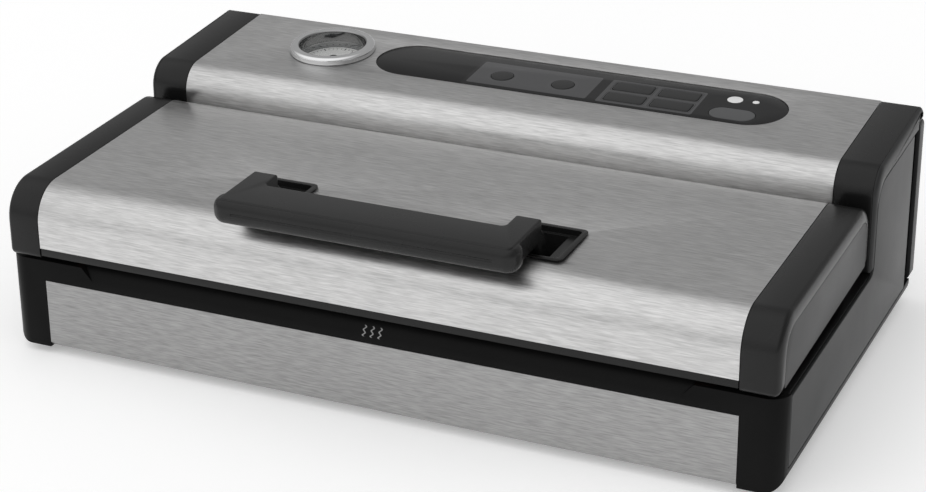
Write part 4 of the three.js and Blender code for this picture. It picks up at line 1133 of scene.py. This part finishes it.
# %% [markdown]
# ## Vent slots
# The transformer and the pump get warm, so the bottom plate and the rear cover have rows of slots over
# them. The tree stands a slot-shaped cutter on a grid of points and takes them all out of the plate at once.

# %% Vent tree
def vent_tree():
    p = Pattern("vent_slots", Columns="NodeSocketInt", Rows="NodeSocketInt", Pitch="NodeSocketVector",
                Slot="NodeSocketVector", Centre="NodeSocketVector", Turn="NodeSocketVector",
                Finish="NodeSocketMaterial")
    pitch_x, pitch_y, _ = p.parts(p.given("Pitch"))
    grid = p.add("GeometryNodeMeshGrid", None, {
        "Size X": pitch_x * (p.given("Columns") - 1), "Size Y": pitch_y * (p.given("Rows") - 1),
        "Vertices X": p.given("Columns"), "Vertices Y": p.given("Rows")})
    placed = p.add("GeometryNodeTransform", None,
                   {"Geometry": grid, "Rotation": p.given("Turn"), "Translation": p.given("Centre")})
    cutter = p.add("GeometryNodeMeshCube", None, {"Size": p.given("Slot")})
    cutters = p.add("GeometryNodeInstanceOnPoints", None, {"Points": placed, "Instance": cutter})
    real = p.add("GeometryNodeRealizeInstances", None, {"Geometry": cutters})
    cut = p.add("GeometryNodeMeshBoolean", {"operation": "DIFFERENCE"}, {"Mesh 1": p.start, "Mesh 2": real})
    return p.end(cut)


def metres(*values):
    return Vector(values) * MM


VENTS = vent_tree()
bottom = block("bottom_cover", rect(-235.5, 235.5, -128.5, 135.5, 4), 5.2, 7.2)
for columns, x in ((9, 122), (11, -146)):
    VENTS.run(bottom, Columns=columns, Rows=2, Pitch=metres(9, 34, 0), Slot=metres(3, 26, 20),
              Centre=metres(x, 84, 6), Turn=Vector(), Finish=FINISHES["grey_plastic"])
dress(soften(bottom, 0.4), "grey_plastic", "base", "bottom_plate")
rear_cover = refined("rear_cover", 0, name="rear_cover_panel")
for x in (-120, 90):
    VENTS.run(rear_cover, Columns=14, Rows=2, Pitch=metres(7, 28, 0), Slot=metres(2.6, 20, 22),
              Centre=metres(x, 148, 76), Turn=Vector((pi / 2, 0, 0)), Finish=FINISHES["grey_plastic"])
dress(soften(rear_cover, 0.6, 3), "grey_plastic", "base", "rear_cover")
print("bottom faces:", len(bottom.data.polygons), "rear cover faces:", len(rear_cover.data.polygons))

# %% [markdown]
# ## Drip tray with ribs, and the sockets' blades
# Low ribs on the tray's floor keep the bag's mouth out of the liquid. They repeat at an even pitch, so one
# bar is placed on a line of points.

# %% Tray ribs
def rib_tree():
    p = Pattern("tray_ribs", Count="NodeSocketInt", Span="NodeSocketFloat", Bar="NodeSocketVector",
                Finish="NodeSocketMaterial")
    step = vector_of(p, X=p.given("Span") / (p.given("Count") - 1))
    start = vector_of(p, X=p.given("Span") * -0.5)
    line = p.add("GeometryNodeMeshLine", None,
                 {"Count": p.given("Count"), "Start Location": start, "Offset": step})
    bar = p.add("GeometryNodeMeshCube", None, {"Size": p.given("Bar")})
    return p.end(p.add("GeometryNodeInstanceOnPoints", None, {"Points": line, "Instance": bar}))


dress(refined("drip_tray", 0.5, 3), "grey_plastic", "base", "drip_tray")
tray_low, tray_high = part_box("drip_tray")
ribs = dotted("tray_ribs", [(0, 0, 0)], (0, 0, 1))
rib_tree().run(ribs, Count=13, Span=348 * MM, Bar=metres(2, 52, 1.6), Finish=FINISHES["grey_plastic"])
ribs.data.transform(Matrix.Translation(((tray_low + tray_high) / 2).xy.to_3d() + metres(0, 0, 42.25)))
dress(soften(ribs, 0.35), "grey_plastic", "base")

SOCKET_X, SOCKET_Z = 185, 46
for number, (dx, dz) in enumerate(((-7, -2), (7, -2), (0, 2)), 1):
    x, z = SOCKET_X + dx, SOCKET_Z + dz
    blade = block(f"socket_blade_{number}", rect(x - 1, x + 1, z - 2, z + 2, 0.3), 133.2, 144.2,
                  along_y, edge_high=(0.6, 0.5), steps=3)
    dress(soften(blade, 0), "plain_steel", "base", finish="pin_metal")
print("ribs and blades made")

# %% [markdown]
# ## Works inside the base
# The pump, motor, transformer, board, valve and hose are never seen from outside, so they keep their CAD
# shapes with broken edges. The turns of the transformer's winding repeat, and are bars on a line of points.

# %% Windings
def winding_tree():
    p = Pattern("winding_turns", Count="NodeSocketInt", Pitch="NodeSocketFloat", Size="NodeSocketVector",
                Finish="NodeSocketMaterial")
    step = vector_of(p, X=p.given("Pitch"))
    line = p.add("GeometryNodeMeshLine", None, {"Count": p.given("Count"), "Offset": step})
    bar = p.add("GeometryNodeMeshCube", None, {"Size": p.given("Size")})
    return p.end(p.add("GeometryNodeInstanceOnPoints", None, {"Points": line, "Instance": bar}))


WINDINGS = winding_tree()
for side, y in (("front", 50), ("rear", 118)):
    winding = dotted("winding_" + side, [(0, 0, 0)], (0, 0, 1))
    WINDINGS.run(winding, Count=24, Pitch=1.9 * MM, Size=metres(1.5, 5.2, 29), Finish=FINISHES["copper_wire"])
    winding.data.transform(Matrix.Translation(metres(100.2, y, 34)))
    dress(soften(winding, 0.6, 3, smooth=60), "transformer_core", "base", finish="copper_wire")
print("windings made")

# %% [markdown]
# ## Everything else
# What is left has the right shape already, so each node is copied, its flat faces are merged, its hard
# edges are broken by a width that suits its size, and it takes the finish of its slot.

# %% Remaining pieces
EDGES = {
    "lower_gasket": 1.6, "upper_gasket": 1.4, "press_strip": 1.2, "seal_bar": 0.8, "heating_strip": 0.1,
    "seal_tape": 0.12, "handle_pocket": 0.35, "lid_inner_frame": 0.4, "latch_shaft": 0.4,
    "lid_chamber_plate": 0.4, "foot": 0.6, "vacuum_pump": 1.2, "pump_motor": 1.0, "mains_inlet": 0.5,
}
for node in sorted(frame["nodes"]):
    if frame["nodes"][node].hide_render:
        continue
    edge = next((width for start, width in EDGES.items() if node.startswith(start)), 0.3)
    dress(refined(node, edge, 3), slot_of[node], body_of[node], node)
print("nodes still shown as they came:", [n for n, o in frame["nodes"].items() if not o.hide_render])

# %% [markdown]
# ## Studio and camera
# A large pale floor that glows faintly, as a light table does, in a room that is bright overhead and in
# front and dimmer behind. The steel's bends show that change as a soft band.

# %% Studio
def make_floor():
    f = Finish("studio_floor", Roughness=0.6, Emission_Color=grey(1.0), Emission_Strength=0.3)
    mottle = f.stretched((1.5, 1.5, 1.5), detail=2)
    f.feed("Base Color", f.tint(mottle, grey(0.90), grey(0.93)))
    mesh = bmesh.new()
    bmesh.ops.create_grid(mesh, x_segments=1, y_segments=1, size=12)
    floor = as_object("studio_floor", mesh)
    floor.data.materials.append(f.material)


def make_room():
    """A world that is bright overhead and in front, and dimmer towards the horizon behind."""
    world = bpy.data.worlds.new("studio")
    world.use_nodes = True
    bpy.context.scene.world = world
    room = Graph(world.node_tree)
    direction = room.add("ShaderNodeTexCoord", out="Generated")
    softbox = Vector((-0.26, -0.46, 0.85)).normalized()
    toward = room.add("ShaderNodeVectorMath", {"operation": "DOT_PRODUCT"},
                      {0: direction, 1: softbox}, out="Value")
    glow = room.add("ShaderNodeMapRange", {"interpolation_type": "SMOOTHSTEP"},
                    {"Value": toward, "From Min": 0.30, "From Max": 0.90, "To Min": 0.40, "To Max": 1.12})
    background = world.node_tree.nodes["Background"]
    room.tree.links.new(glow.socket, background.inputs["Strength"])
    background.inputs["Color"].default_value = grey(1.0)


AIM = Vector((0.0108, -0.0312, 0.07))
DISTANCE = 1.4505
AZIMUTH, ELEVATION, ROLL = radians(24.118), radians(24.298), radians(-0.496)


def make_camera():
    back = Vector((sin(AZIMUTH) * cos(ELEVATION), -cos(AZIMUTH) * cos(ELEVATION), sin(ELEVATION)))
    level = Vector((cos(AZIMUTH), sin(AZIMUTH), 0))
    right = level * cos(ROLL) + back.cross(level) * sin(ROLL)
    turn = Matrix((right, back.cross(right), back)).transposed()
    lens = bpy.data.cameras.new("camera")
    lens.lens = 92.54
    lens.sensor_width = 36
    camera = bpy.data.objects.new("camera", lens)
    camera.matrix_world = Matrix.Translation(AIM + back * DISTANCE) @ turn.to_4x4()
    bpy.context.scene.collection.objects.link(camera)
    bpy.context.scene.camera = camera


make_floor()
make_room()
make_camera()
bpy.context.scene.view_settings.view_transform = "Standard"
